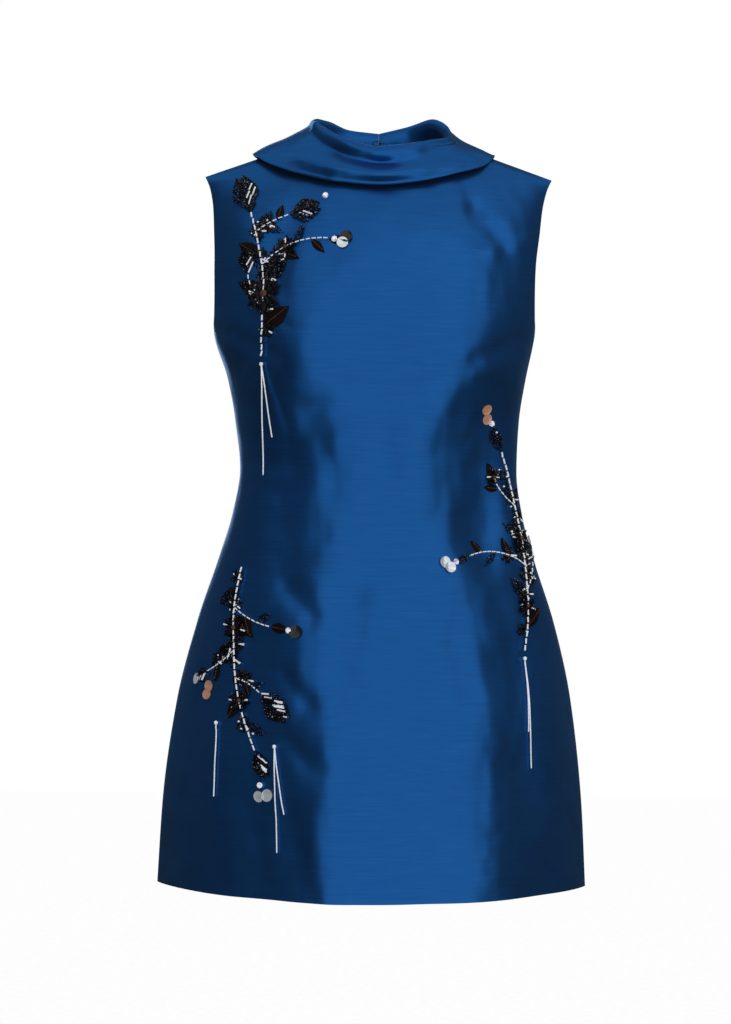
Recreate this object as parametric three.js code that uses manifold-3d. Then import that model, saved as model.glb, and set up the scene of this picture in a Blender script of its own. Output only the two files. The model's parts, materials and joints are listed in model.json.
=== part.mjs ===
// A sleeveless mini dress in heavy satin, filled out as when it is worn and empty inside. It has a
// front, two backs with a zip between them, a wide rolled collar, and three beaded sprays with
// hanging strands of beads. Millimetres, +Z up, the front faces -Y, and the wearer's left is +X.
// The origin lies midway between the neck ends of the two shoulder seams, where the wearer's
// shoulders hold the dress.

import * as THREE from 'three';
import { mergeVertices } from 'three/addons/utils/BufferGeometryUtils.js';
import Module from 'manifold-3d';

const wasm = await Module();
wasm.setup();

// Driving sizes of the cloth
const HEM_Z = -799;
const UNDERARM_Z = -212;
const WALL = 2;
const SEAM_GAP = 0.3;

// Neck and shoulders: half the width of the neck hole, its drop, and how the shoulders fall away
const NECK_HALF = 80;
const FRONT_NECK_DROP = 43;
const BACK_NECK_DROP = 12;
const SHOULDER_HALF = 187;
const SHOULDER_FALL = 38;

// The body from the hem up: half its width, how far it reaches forwards and back, and how its girth
// turns at the side seam, from 0.44 where it is full and round to 1 where front and back meet in an
// edge. Sway is how far its middle stands towards the wearer's left, in the way the dress is worn.
const SECTIONS = [
  { z: -799, halfWidth: 231, front: 150, back: 150, turn: 0.82, sway: 0 },
  { z: -709, halfWidth: 226, front: 146, back: 147, turn: 0.76, sway: 0 },
  { z: -601, halfWidth: 212.5, front: 138, back: 142, turn: 0.64, sway: 1 },
  { z: -515, halfWidth: 192, front: 128, back: 135, turn: 0.54, sway: 2 },
  { z: -450, halfWidth: 170.5, front: 118, back: 124, turn: 0.48, sway: 2 },
  { z: -400, halfWidth: 156, front: 110, back: 109, turn: 0.45, sway: 2.5 },
  { z: -353, halfWidth: 149, front: 106, back: 97, turn: 0.44, sway: 3 },
  { z: -299, halfWidth: 153, front: 111, back: 93, turn: 0.44, sway: 1 },
  { z: -255, halfWidth: 160.5, front: 118, back: 95, turn: 0.44, sway: 0 },
  { z: -212, halfWidth: 172, front: 119, back: 99, turn: 0.44, sway: -2.8 },
  { z: -150, halfWidth: 180, front: 117, back: 103, turn: 0.44, sway: -3 },
  { z: -90, halfWidth: 184, front: 114, back: 103, turn: 0.44, sway: -1 },
  { z: -40, halfWidth: 186, front: 111, back: 101, turn: 0.44, sway: 0 },
  { z: 0, halfWidth: 188, front: 108, back: 99, turn: 0.44, sway: 0 },
];

// The armhole from the underarm up: its edge, and that edge as a share of the body's half width
const ARMHOLE = [
  { rise: 0, edge: 172, frontShare: 1, backShare: 1 },
  { rise: 0.06, edge: 172, frontShare: 0.985, backShare: 0.988 },
  { rise: 0.13, edge: 171, frontShare: 0.966, backShare: 0.974 },
  { rise: 0.25, edge: 170.5, frontShare: 0.946, backShare: 0.96 },
  { rise: 0.45, edge: 171.2, frontShare: 0.936, backShare: 0.95 },
  { rise: 0.65, edge: 174, frontShare: 0.94, backShare: 0.95 },
  { rise: 0.8, edge: 176.5, frontShare: 0.95, backShare: 0.957 },
  { rise: 0.92, edge: 181, frontShare: 0.963, backShare: 0.965 },
  { rise: 1, edge: SHOULDER_HALF, frontShare: 0.975, backShare: 0.975 },
];

// How soon the chest and the back fill out below the shoulder line, as a share of their depth
const BELOW_SHOULDER = [
  { drop: 0, front: 0, back: 0 },
  { drop: 6, front: 0.17, back: 0.24 },
  { drop: 20, front: 0.34, back: 0.46 },
  { drop: 45, front: 0.53, back: 0.67 },
  { drop: 80, front: 0.71, back: 0.84 },
  { drop: 120, front: 0.85, back: 0.94 },
  { drop: 170, front: 0.95, back: 1 },
  { drop: 230, front: 1, back: 1 },
];

// The fullness that the bust darts give, on each side of the centre
const BUST = { x: 88, z: -238, height: 9, spreadX: 48, spreadZ: 58 };

// Folds of the cloth, from one end to the other as seen from the front. A positive depth is a
// trough, a negative one a ridge.
const FOLDS = {
  front: [
    { x1: 88, z1: -40, x2: 104, z2: -78, width: 9, depth: 4 },
    { x1: 104, z1: -78, x2: 134, z2: -118, width: 11, depth: 5 },
    { x1: 128, z1: -122, x2: 168, z2: -108, width: 10, depth: -4 },
    { x1: -84, z1: -78, x2: -112, z2: -156, width: 18, depth: 5 },
    { x1: -104, z1: -236, x2: -150, z2: -212, width: 9, depth: 3 },
    { x1: 104, z1: -238, x2: 152, z2: -216, width: 9, depth: 3 },
    { x1: -100, z1: -330, x2: -98, z2: -480, width: 24, depth: 5 },
    { x1: 118, z1: -308, x2: 112, z2: -400, width: 42, depth: 13 },
    { x1: 40, z1: -312, x2: 34, z2: -392, width: 22, depth: -5 },
    { x1: 120, z1: -424, x2: 150, z2: -530, width: 40, depth: 9 },
    { x1: -130, z1: -545, x2: -110, z2: -799, width: 34, depth: 7 },
    { x1: 40, z1: -600, x2: 58, z2: -799, width: 34, depth: 5 },
    { x1: 150, z1: -560, x2: 178, z2: -799, width: 30, depth: 6 },
    { x1: -44, z1: -640, x2: -52, z2: -799, width: 30, depth: -5 },
  ],
  back: [
    { x1: 70, z1: -60, x2: 128, z2: -140, width: 14, depth: 4 },
    { x1: -66, z1: -64, x2: -122, z2: -150, width: 14, depth: 5 },
    { x1: 52, z1: -340, x2: 60, z2: -450, width: 22, depth: 6 },
    { x1: -56, z1: -335, x2: -62, z2: -460, width: 22, depth: 6 },
    { x1: 120, z1: -580, x2: 134, z2: -799, width: 34, depth: 7 },
    { x1: -104, z1: -590, x2: -126, z2: -799, width: 32, depth: 6 },
    { x1: 50, z1: -640, x2: 56, z2: -799, width: 30, depth: -5 },
    { x1: -46, z1: -660, x2: -50, z2: -799, width: 28, depth: -4 },
  ],
};

// The collar round the neck, from the centre back by the wearer's right to the centre front and on
// by the left to the centre back. The fold is the top of its roll, and the edge is where it ends.
const COLLAR_WALL = 2.4;
const COLLAR = [
  { turn: -180, foldX: -0.4, foldY: 54, foldZ: 17.5, edgeX: -9, edgeY: 82, edgeZ: -45, trough: 0, belly: 2 },
  { turn: -150, foldX: -33, foldY: 48, foldZ: 20.5, edgeX: -55, edgeY: 77, edgeZ: -43, trough: 0, belly: 2 },
  { turn: -122, foldX: -57, foldY: 33, foldZ: 28, edgeX: -98, edgeY: 56, edgeZ: -36, trough: -1, belly: 2 },
  {
    turn: -108, foldX: -66, foldY: 22, foldZ: 28.5,
    edgeX: -119, edgeY: 29, edgeZ: -25, trough: -1, belly: 3,
  },
  { turn: -95, foldX: -72, foldY: 10, foldZ: 25, edgeX: -136, edgeY: 0, edgeZ: -14, trough: -1, belly: 3 },
  {
    turn: -70, foldX: -68, foldY: -18, foldZ: 19,
    edgeX: -117, edgeY: -38, edgeZ: -28, trough: -3, belly: 1,
  },
  {
    turn: -45, foldX: -52, foldY: -43, foldZ: 6,
    edgeX: -84, edgeY: -60, edgeZ: -41.5, trough: -2, belly: 3,
  },
  { turn: -22, foldX: -28, foldY: -62, foldZ: -7, edgeX: -44, edgeY: -75, edgeZ: -51, trough: -1, belly: 5 },
  { turn: 0, foldX: -2, foldY: -69, foldZ: -13.5, edgeX: 0, edgeY: -80, edgeZ: -54.8, trough: -1, belly: 6 },
  { turn: 22, foldX: 26, foldY: -65, foldZ: -10.5, edgeX: 42, edgeY: -75, edgeZ: -50, trough: -1, belly: 5 },
  { turn: 45, foldX: 54, foldY: -45, foldZ: -3, edgeX: 80, edgeY: -60, edgeZ: -39.5, trough: -1, belly: 3 },
  { turn: 70, foldX: 76, foldY: -14, foldZ: 6, edgeX: 111, edgeY: -38, edgeZ: -28.5, trough: 0, belly: 2 },
  { turn: 92, foldX: 74, foldY: 10, foldZ: 19, edgeX: 125, edgeY: 0, edgeZ: -16, trough: -1, belly: 1 },
  { turn: 122, foldX: 57, foldY: 33, foldZ: 31, edgeX: 98, edgeY: 56, edgeZ: -36, trough: -1, belly: 2 },
  { turn: 150, foldX: 33, foldY: 48, foldZ: 25, edgeX: 55, edgeY: 77, edgeZ: -43, trough: 0, belly: 2 },
  { turn: 180, foldX: 0.4, foldY: 54, foldZ: 17.5, edgeX: 9, edgeY: 82, edgeZ: -45, trough: 0, belly: 2 },
];

const SATIN = new THREE.MeshStandardMaterial({ color: 0x164a86, roughness: 0.38, metalness: 0 });

const mix = (a, b, share) => a + (b - a) * share;
const ease = (share) => share * share * (3 - 2 * share);
const steps = (from, to, count) => Array.from({ length: count + 1 }, (_, i) => mix(from, to, i / count));

// A smooth curve through one column of a table, which stays between its rows and is flat past them.
function column(rows, at, name) {
  const x = rows.map((row) => row[at]);
  const y = rows.map((row) => row[name]);
  const slope = x.slice(1).map((next, i) => (y[i + 1] - y[i]) / (next - x[i]));
  const tangent = x.map((_, i) => {
    const before = slope[Math.max(i - 1, 0)];
    const after = slope[Math.min(i, slope.length - 1)];
    return before * after <= 0 ? 0 : 2 / (1 / before + 1 / after);
  });
  return (at) => {
    const value = Math.min(Math.max(at, x[0]), x[x.length - 1]);
    const i = Math.max(x.findIndex((next) => next >= value) - 1, 0);
    const span = x[i + 1] - x[i];
    const t = (value - x[i]) / span;
    const start = y[i] * (1 + 2 * t) * (1 - t) ** 2 + tangent[i] * span * t * (1 - t) ** 2;
    return start + y[i + 1] * t * t * (3 - 2 * t) + tangent[i + 1] * span * t * t * (t - 1);
  };
}

const halfWidthAt = column(SECTIONS, 'z', 'halfWidth');
const turnAt = column(SECTIONS, 'z', 'turn');
const swayAt = column(SECTIONS, 'z', 'sway');
const armEdgeAt = column(ARMHOLE, 'rise', 'edge');
const SIDES = {
  front: {
    sign: -1,
    neckDrop: FRONT_NECK_DROP,
    depthAt: column(SECTIONS, 'z', 'front'),
    shareAt: column(ARMHOLE, 'rise', 'frontShare'),
    fillAt: column(BELOW_SHOULDER, 'drop', 'front'),
  },
  back: {
    sign: 1,
    neckDrop: BACK_NECK_DROP,
    depthAt: column(SECTIONS, 'z', 'back'),
    shareAt: column(ARMHOLE, 'rise', 'backShare'),
    fillAt: column(BELOW_SHOULDER, 'drop', 'back'),
  },
};

// The height of the shoulder line over a point that far from the centre: a straight slope along the
// shoulder seam, rounded off over the neck.
function shoulderLine(x) {
  const slope = SHOULDER_FALL / (SHOULDER_HALF - NECK_HALF);
  const reach = Math.abs(x);
  if (reach > NECK_HALF) return -slope * (reach - NECK_HALF);
  return (slope / (2 * NECK_HALF)) * (NECK_HALF * NECK_HALF - reach * reach);
}

// Half the width of the whole body at a height. Above the underarm it runs on through the armhole.
function bodyHalfWidth(side, z) {
  const rise = (z - UNDERARM_Z) / (-SHOULDER_FALL - UNDERARM_Z);
  return rise <= 0 ? halfWidthAt(z) : armEdgeAt(rise) / SIDES[side].shareAt(rise);
}

function foldDepth(side, x, z) {
  return FOLDS[side].reduce((sum, fold) => {
    const dx = fold.x2 - fold.x1;
    const dz = fold.z2 - fold.z1;
    const along = ((x - fold.x1) * dx + (z - fold.z1) * dz) / (dx * dx + dz * dz);
    const t = Math.min(Math.max(along, 0), 1);
    const off = Math.hypot(x - fold.x1 - dx * t, z - fold.z1 - dz * t) / fold.width;
    return sum + fold.depth * Math.exp(-off * off);
  }, 0);
}

const FULLNESS = 2.2;
function bustFullness(x, z) {
  const across = (Math.abs(x) - BUST.x) / BUST.spreadX;
  const up = (z - BUST.z) / BUST.spreadZ;
  return BUST.height * Math.exp(-across * across - up * up);
}

// How far the cloth stands in front of the side seams, or behind them, at a point seen from the front.
function bodyY(side, x, z, width = bodyHalfWidth(side, z)) {
  const { sign, depthAt, fillAt } = SIDES[side];
  const share = Math.min(Math.abs(x) / width, 1);
  const round = (1 - share ** FULLNESS) ** turnAt(z);
  const fill = fillAt(Math.max(shoulderLine(x) - z, 0));
  const nearSeam = (1 - share ** 8) * fill;
  const shaped = (side === 'front' ? bustFullness(x, z) : 0) - foldDepth(side, x, z);
  return sign * (depthAt(z) * round * fill + shaped * nearSeam + SEAM_GAP / 2);
}

// A point of a panel's outer face. Across runs from -1 to 1 between the side seams or armholes,
// and up from 0 at the hem by 1 at the underarm to 2 at the shoulder seams and the neckline.
const SEAM_SHARE = 0.5;
const bend = 2 / FULLNESS;
function panelPoint(side, across, up) {
  const reach = Math.abs(across);
  if (up <= 1) {
    const z = mix(HEM_Z, UNDERARM_Z, up);
    const width = halfWidthAt(z);
    const x = Math.sign(across) * width * Math.sin((reach * Math.PI) / 2) ** bend;
    return new THREE.Vector3(x, bodyY(side, x, z, width), z);
  }
  const rise = up - 1;
  const share = SIDES[side].shareAt(rise);
  const width = armEdgeAt(rise) / share;
  const turn = Math.asin(share ** (1 / bend));
  const below = Math.sin(turn * reach) ** bend / share;
  const onShoulder = mix(NECK_HALF, SHOULDER_HALF, (reach - SEAM_SHARE) / (1 - SEAM_SHARE));
  const onNeck = NECK_HALF * Math.sin((reach / SEAM_SHARE) * (Math.PI / 2));
  const topX = reach < SEAM_SHARE ? onNeck : onShoulder;
  const neckZ = -SIDES[side].neckDrop * Math.cos((reach / SEAM_SHARE) * (Math.PI / 2));
  const topZ = reach < SEAM_SHARE ? neckZ : shoulderLine(topX);
  const x = Math.sign(across) * armEdgeAt(rise) * mix(below, topX / SHOULDER_HALF, ease(rise));
  const z = mix(UNDERARM_Z, topZ, rise);
  return new THREE.Vector3(x, bodyY(side, x, z, width), z);
}

// A closed geometry from its points and triangles, with its faces turned outwards.
function closedGeometry(points, triangles) {
  const volume = triangles.reduce((sum, [a, b, c]) => {
    return sum + points[a].dot(new THREE.Vector3().crossVectors(points[b], points[c]));
  }, 0);
  const outward = volume < 0 ? triangles.map(([a, b, c]) => [a, c, b]) : triangles;
  const geometry = new THREE.BufferGeometry().setFromPoints(points);
  geometry.setIndex(outward.flat());
  geometry.computeVertexNormals();
  return geometry;
}

// A wall of cloth over a grid. pointAt(u, v) is its middle or its outer face: lift is how far the
// outer face stands out from it. keepPlane(i, j) may name an axis along which the wall isn't
// thickened there, so that an edge that meets a neighbour stays in the plane of their seam.
function clothWall(pointAt, us, vs, { wall, lift = 0, keepPlane = () => null }) {
  const small = 1e-3;
  const clamp = (value, list) => Math.min(Math.max(value, Math.min(...list)), Math.max(...list));
  const spanU = (Math.max(...us) - Math.min(...us)) * small;
  const spanV = (Math.max(...vs) - Math.min(...vs)) * small;
  const outer = [];
  const inner = [];
  us.forEach((u, i) => {
    vs.forEach((v, j) => {
      const alongU = pointAt(clamp(u + spanU, us), v).sub(pointAt(clamp(u - spanU, us), v));
      const alongV = pointAt(u, clamp(v + spanV, vs)).sub(pointAt(u, clamp(v - spanV, vs)));
      const normal = alongU.cross(alongV);
      const axis = keepPlane(i, j);
      if (axis) normal[axis] = 0;
      normal.normalize();
      const point = pointAt(u, v);
      outer.push(point.clone().addScaledVector(normal, lift));
      inner.push(point.clone().addScaledVector(normal, lift - wall));
    });
  });
  const count = outer.length;
  const rows = vs.length;
  const triangles = [];
  const square = (a, b, c, d) => triangles.push([a, b, c], [a, c, d]);
  for (let i = 0; i + 1 < us.length; i += 1) {
    for (let j = 0; j + 1 < rows; j += 1) {
      const a = i * rows + j;
      square(a, a + rows, a + rows + 1, a + 1);
      square(count + a, count + a + 1, count + a + rows + 1, count + a + rows);
    }
    const bottom = i * rows;
    const top = i * rows + rows - 1;
    square(bottom, count + bottom, count + bottom + rows, bottom + rows);
    square(top, top + rows, count + top + rows, count + top);
  }
  const last = (us.length - 1) * rows;
  for (let j = 0; j + 1 < rows; j += 1) {
    square(j, j + 1, count + j + 1, count + j);
    square(last + j, count + last + j, count + last + j + 1, last + j + 1);
  }
  return closedGeometry([...outer, ...inner], triangles);
}

// The rows of every panel, closer together at the waist, the underarm and the shoulder seam.
const ROWS = [
  ...steps(0, 0.56, 6),
  ...steps(0.64, 1, 6),
  ...[0.05, 0.13, 0.25, 0.38, 0.52, 0.66, 0.78, 0.87, 0.94, 1].map((rise) => 1 + rise),
];

// The side and shoulder seams lie in the plane of X and Z, and the centre back in that of Y and Z.
const onArmSide = (u, v) => Math.abs(u) === 1 && v <= 1;
const onShoulder = (u, v) => Math.abs(u) >= SEAM_SHARE && v === 2;

function frontPanel() {
  const us = [...steps(-1, -0.5, 7), ...steps(-0.4375, 0.4375, 14), ...steps(0.5, 1, 7)];
  const keepPlane = (i, j) => (onArmSide(us[i], ROWS[j]) || onShoulder(us[i], ROWS[j]) ? 'y' : null);
  return clothWall((u, v) => panelPoint('front', u, v), us, ROWS, { wall: WALL, keepPlane });
}

// The grid's own normal points into the dress at the back, so the wall is laid the other way.
function backPanel(hand) {
  const us = [...steps(0, hand * 0.4375, 7), ...steps(hand * 0.5, hand, 7)];
  const keepPlane = (i, j) => {
    if (i === 0) return 'x';
    return onArmSide(us[i], ROWS[j]) || onShoulder(us[i], ROWS[j]) ? 'y' : null;
  };
  const pointAt = (u, v) => {
    const point = panelPoint('back', u, v);
    point.x = hand * Math.max(Math.abs(point.x), SEAM_GAP / 2);
    return point;
  };
  return clothWall(pointAt, us, ROWS, { wall: -WALL, keepPlane });
}

// Where the collar is sewn on: just inside the neck hole, beside the inner edge of the panels.
const SEWN_CLEAR = 0.6;
function collarBase(turn) {
  const side = Math.abs(turn) <= 90 ? 'front' : 'back';
  const share = side === 'front' ? Math.abs(turn) / 180 : (180 - Math.abs(turn)) / 180;
  const hand = Math.sign(turn) || 1;
  const at = (across, up) => panelPoint(side, hand * across, up);
  const small = 1e-3;
  const alongU = at(share + small, 2).sub(at(Math.max(share - small, 0), 2)).multiplyScalar(hand);
  const alongV = at(share, 2).sub(at(share, 2 - small));
  const inward = alongU.cross(alongV).normalize();
  if (side === 'front') inward.negate();
  const rim = at(share, 2).addScaledVector(inward, WALL);
  const angle = THREE.MathUtils.degToRad(turn);
  const outward = new THREE.Vector3(Math.sin(angle), -Math.cos(angle), 0);
  return rim.addScaledVector(outward, -(SEWN_CLEAR + COLLAR_WALL / 2));
}

const collarColumns = {};
['foldX', 'foldY', 'foldZ', 'edgeX', 'edgeY', 'edgeZ', 'trough', 'belly'].forEach((name) => {
  collarColumns[name] = column(COLLAR, 'turn', name);
});

// How high the cloth of the body is over a point seen from above.
function bodyHeight(x, y) {
  const side = y < 0 ? 'front' : 'back';
  let high = shoulderLine(x);
  let low = high - 140;
  for (let i = 0; i < 22; i += 1) {
    const middle = (high + low) / 2;
    if (Math.abs(bodyY(side, x, middle)) < Math.abs(y)) high = middle;
    else low = middle;
  }
  return (high + low) / 2;
}

// The middle of the collar's cloth. v runs from 0 where it is sewn on, up over the roll, to 1 at its edge.
const ROLL = 4.6;
const COLLAR_GAP = 0.2;
const COLLAR_REST = 3.4;
const softMax = (a, b) => (a + b + Math.hypot(a - b, 2)) / 2;
function collarCurve(turn) {
  const value = (name) => collarColumns[name](turn);
  const angle = THREE.MathUtils.degToRad(turn);
  const outward = new THREE.Vector3(Math.sin(angle), -Math.cos(angle), 0);
  const base = collarBase(turn);
  const fold = new THREE.Vector3(value('foldX'), value('foldY'), value('foldZ'));
  const edge = new THREE.Vector3(value('edgeX'), value('edgeY'), value('edgeZ'));
  const before = fold.clone().addScaledVector(outward, -ROLL).add(new THREE.Vector3(0, 0, -1.3 * ROLL));
  const after = fold.clone().addScaledVector(outward, ROLL).add(new THREE.Vector3(0, 0, -1.3 * ROLL));
  const hollow = after.clone().lerp(edge, 0.3).addScaledVector(outward, value('trough'));
  const full = after.clone().lerp(edge, 0.7).addScaledVector(outward, value('belly'));
  const path = [base, base.clone().lerp(before, 0.5), before, fold, after, hollow, full, edge];
  return new THREE.CatmullRomCurve3(path, false, 'centripetal');
}

function collar() {
  const turns = steps(-180, 180, 48);
  const vs = [0, 1, 2, 2.5, 3, 3.5, 4, 4.5, 5, 5.5, 6, 6.5, 7].map((knot) => knot / 7);
  const curves = new Map();
  const pointAt = (turn, v) => {
    if (!curves.has(turn)) curves.set(turn, collarCurve(turn));
    const point = curves.get(turn).getPoint(v);
    if (v > 0.6) point.z = softMax(point.z, bodyHeight(point.x, point.y) + COLLAR_REST);
    if (Math.abs(turn) > 90) point.x = Math.sign(turn) * Math.max(Math.abs(point.x), COLLAR_GAP);
    return point;
  };
  const keepPlane = (i) => (i === 0 || i === turns.length - 1 ? 'x' : null);
  return clothWall(pointAt, turns, vs, { wall: COLLAR_WALL, lift: COLLAR_WALL / 2, keepPlane });
}

// A point of the outer face, as far round the girth from the centre front as arc says. Positive is
// towards the wearer's left, and past the side seam it runs on over the back.
function girthPoint(arc, z) {
  const samples = 80;
  const at = (share) => {
    const side = share <= 1 ? 'front' : 'back';
    const reach = share <= 1 ? share : 2 - share;
    const width = z > UNDERARM_Z ? bodyHalfWidth(side, z) : halfWidthAt(z);
    const x = width * Math.sin((reach * Math.PI) / 2) ** bend;
    return new THREE.Vector3(Math.sign(arc) * x, bodyY(side, Math.sign(arc) * x, z, width), z);
  };
  let walked = 0;
  let last = at(0);
  for (let i = 1; i <= samples * 1.4; i += 1) {
    const next = at(i / samples);
    const length = next.distanceTo(last);
    if (walked + length >= Math.abs(arc)) return last.lerp(next, (Math.abs(arc) - walked) / length);
    walked += length;
    last = next;
  }
  return last;
}

// The same point, brought out to the flat faces of the finished panels wherever they stand further out.
const OUT_FROM = 25;
const panels = {};
const out = (point) => new THREE.Vector3(point.x / 1.6, point.y, 0).normalize();
function onPanels(arc, z) {
  const point = girthPoint(arc, z);
  const outward = out(point);
  const from = point.clone().addScaledVector(outward, OUT_FROM);
  const ray = new THREE.Raycaster(from, outward.clone().negate(), 0, OUT_FROM * 2);
  const hits = ray.intersectObjects([panels.front, panels.back_left]);
  return hits.length && hits[0].distance < OUT_FROM ? hits[0].point.clone() : point;
}

// The beaded work is laid on the outer face: lift is how far its back stays clear of the cloth.
function laid(pointAt, us, vs, lift, wall) {
  return clothWall(pointAt, us, vs, { wall, lift: lift + wall });
}

// A leaf or petal from its root. Lean is the way it points, in degrees from straight down.
const BROAD_LEAF = 17;
function leaf({ arc, z, length, width, lean }, lift = 0.85, wall = 1.7) {
  const pointAt = (s, t) => {
    const angle = THREE.MathUtils.degToRad(lean);
    const half = (width / 2) * Math.sin(Math.PI * Math.min(Math.max(t, 0.02), 0.98) ** 0.85);
    const along = length * t;
    const across = -half * s;
    const right = arc + along * Math.sin(angle) + across * Math.cos(angle);
    const up = z - along * Math.cos(angle) + across * Math.sin(angle);
    return onPanels(right, up);
  };
  const us = width > BROAD_LEAF ? [-1, 0, 1] : [-1, 1];
  return laid(pointAt, us, [0, 0.3, 0.65, 1], lift, wall);
}

// A stem through a few points of the cloth.
const STEM_WIDTH = 2.6;
function stem(places, lift = 1, wall = 1.3) {
  const path = new THREE.CatmullRomCurve3(places.map(([arc, z]) => new THREE.Vector3(arc, 0, z)));
  const pointAt = (s, t) => {
    const middle = path.getPoint(t);
    const tangent = path.getTangent(t);
    const off = -(s * STEM_WIDTH) / 2;
    return onPanels(middle.x - tangent.z * off, middle.z + tangent.x * off);
  };
  return laid(pointAt, [-1, 1], steps(0, 1, places.length * 2), lift, wall);
}

const bare = (geometry) => {
  const plain = new THREE.BufferGeometry();
  plain.setAttribute('position', geometry.getAttribute('position').clone());
  plain.setIndex(geometry.index ? geometry.index.clone() : null);
  return mergeVertices(plain, 1e-4);
};

const JOIN_TOLERANCE = 0.18;
function joined(geometries) {
  const solids = geometries.map((geometry) => {
    const plain = bare(geometry);
    return new wasm.Manifold(new wasm.Mesh({
      numProp: 3,
      vertProperties: new Float32Array(plain.getAttribute('position').array),
      triVerts: new Uint32Array(plain.index.array),
    }));
  });
  const result = wasm.Manifold.union(solids).simplify(JOIN_TOLERANCE).getMesh();
  const geometry = new THREE.BufferGeometry();
  geometry.setAttribute('position', new THREE.BufferAttribute(Float32Array.from(result.vertProperties), 3));
  geometry.setIndex(new THREE.BufferAttribute(Uint32Array.from(result.triVerts), 1));
  geometry.computeVertexNormals();
  return geometry;
}

// A round wire or thread through its points, closed at both ends or into a ring.
function wire(points, radius, { segments = 12, sides = 6, ring = false } = {}) {
  const path = new THREE.CatmullRomCurve3(points, ring);
  const frames = path.computeFrenetFrames(segments, ring);
  const vertices = [];
  const triangles = [];
  const loops = ring ? segments : segments + 1;
  for (let i = 0; i < loops; i += 1) {
    const middle = path.getPointAt(i / segments);
    for (let k = 0; k < sides; k += 1) {
      const angle = (k / sides) * 2 * Math.PI;
      const point = middle.clone().addScaledVector(frames.normals[i], radius * Math.cos(angle));
      vertices.push(point.addScaledVector(frames.binormals[i], radius * Math.sin(angle)));
    }
  }
  for (let i = 0; i < segments; i += 1) {
    for (let k = 0; k < sides; k += 1) {
      const a = i * sides + k;
      const b = i * sides + ((k + 1) % sides);
      const c = ((i + 1) % loops) * sides + ((k + 1) % sides);
      const d = ((i + 1) % loops) * sides + k;
      triangles.push([a, b, c], [a, c, d]);
    }
  }
  if (!ring) {
    for (let k = 1; k + 1 < sides; k += 1) {
      triangles.push([0, k + 1, k], [segments * sides, segments * sides + k, segments * sides + k + 1]);
    }
  }
  return closedGeometry(vertices, triangles);
}

// Strands of beads that hang from one knot. Each falls straight, or lies on the cloth where the
// cloth comes further out than it.
const STRAND_RADIUS = 1.2;
const KNOT_RADIUS = 2.6;
const KNOT_CLEAR = 0.35;
const STRAND_CLEAR = 1.3;
function strands(arc, z, ends) {
  const root = onPanels(arc, z);
  const knot = root.clone().addScaledVector(out(root), KNOT_RADIUS + KNOT_CLEAR);
  const pieces = [new THREE.IcosahedronGeometry(KNOT_RADIUS, 1).translate(knot.x, knot.y, knot.z)];
  ends.forEach(([endArc, length]) => {
    const endX = girthPoint(endArc, z - length).x;
    const path = steps(0, 1, 6).map((t) => {
      const height = z - length * t;
      const free = new THREE.Vector3(mix(knot.x, endX, t), knot.y, height);
      const cloth = girthPoint(mix(arc, endArc, t), height);
      const laidOn = cloth.clone().addScaledVector(out(cloth), STRAND_RADIUS + STRAND_CLEAR);
      return free.dot(out(cloth)) > laidOn.dot(out(cloth)) ? free : laidOn;
    });
    path[0] = knot.clone();
    pieces.push(wire(path, STRAND_RADIUS, { segments: 12, sides: 4 }));
  });
  return joined(pieces);
}

// A spray grows from its root as sprigs. Each sprig has a stem that bends evenly over its length,
// leaves on alternate sides and one at its tip. A side sprig starts at a share of its parent's stem
// and turns from the way that stem runs there. Flowers sit on a sprig's stem.
const TAPER = 0.3;
const STEM_REACH = 36;
const PETAL_SHARE = 0.6;
function along(sprig, t) {
  const start = THREE.MathUtils.degToRad(sprig.lean);
  const bend = THREE.MathUtils.degToRad(sprig.bend);
  const now = start + bend * t;
  return {
    arc: sprig.arc + (sprig.length * (Math.cos(start) - Math.cos(now))) / bend,
    z: sprig.z - (sprig.length * (Math.sin(now) - Math.sin(start))) / bend,
    lean: sprig.lean + sprig.bend * t,
  };
}

function grown({ root, sprigs }) {
  return sprigs.reduce((done, row) => {
    const from = row.parent < 0 ? { arc: root[0], z: root[1], lean: 0 } : along(done[row.parent], row.at);
    return [...done, { ...row, ...from, lean: from.lean + row.turn }];
  }, []);
}

function sprigPieces(sprig) {
  const bends = Math.max(2, Math.round(sprig.length / STEM_REACH));
  const path = steps(0, 1, bends).map((t) => [along(sprig, t).arc, along(sprig, t).z]);
  const leaves = steps(0, 1, sprig.leaves).slice(0, sprig.leaves).map((share, i) => {
    const t = mix(sprig.first, 1, share);
    const at = along(sprig, t);
    const length = sprig.leaf * (1 - TAPER * t);
    const lean = at.lean + (i % 2 ? 1 : -1) * sprig.spread;
    return leaf({ ...at, lean, length, width: length * sprig.fullness });
  });
  const tip = leaf({ ...along(sprig, 1), length: sprig.tip, width: sprig.tip * sprig.fullness });
  return [stem(path), ...leaves, tip];
}

// Three blades that cross in the middle make a flower's six petals.
function flowerPieces(at, radius) {
  return [0, 60, 120].map((turn) => {
    const angle = THREE.MathUtils.degToRad(at.lean + turn);
    const arc = at.arc - radius * Math.sin(angle);
    const z = at.z + radius * Math.cos(angle);
    return leaf({ arc, z, lean: at.lean + turn, length: 2 * radius, width: radius * PETAL_SHARE });
  });
}

function spray(plan) {
  const sprigs = grown(plan);
  return [
    ...sprigs.flatMap(sprigPieces),
    ...plan.flowers.flatMap(({ sprig, at, radius }) => flowerPieces(along(sprigs[sprig], at), radius)),
  ];
}

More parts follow.
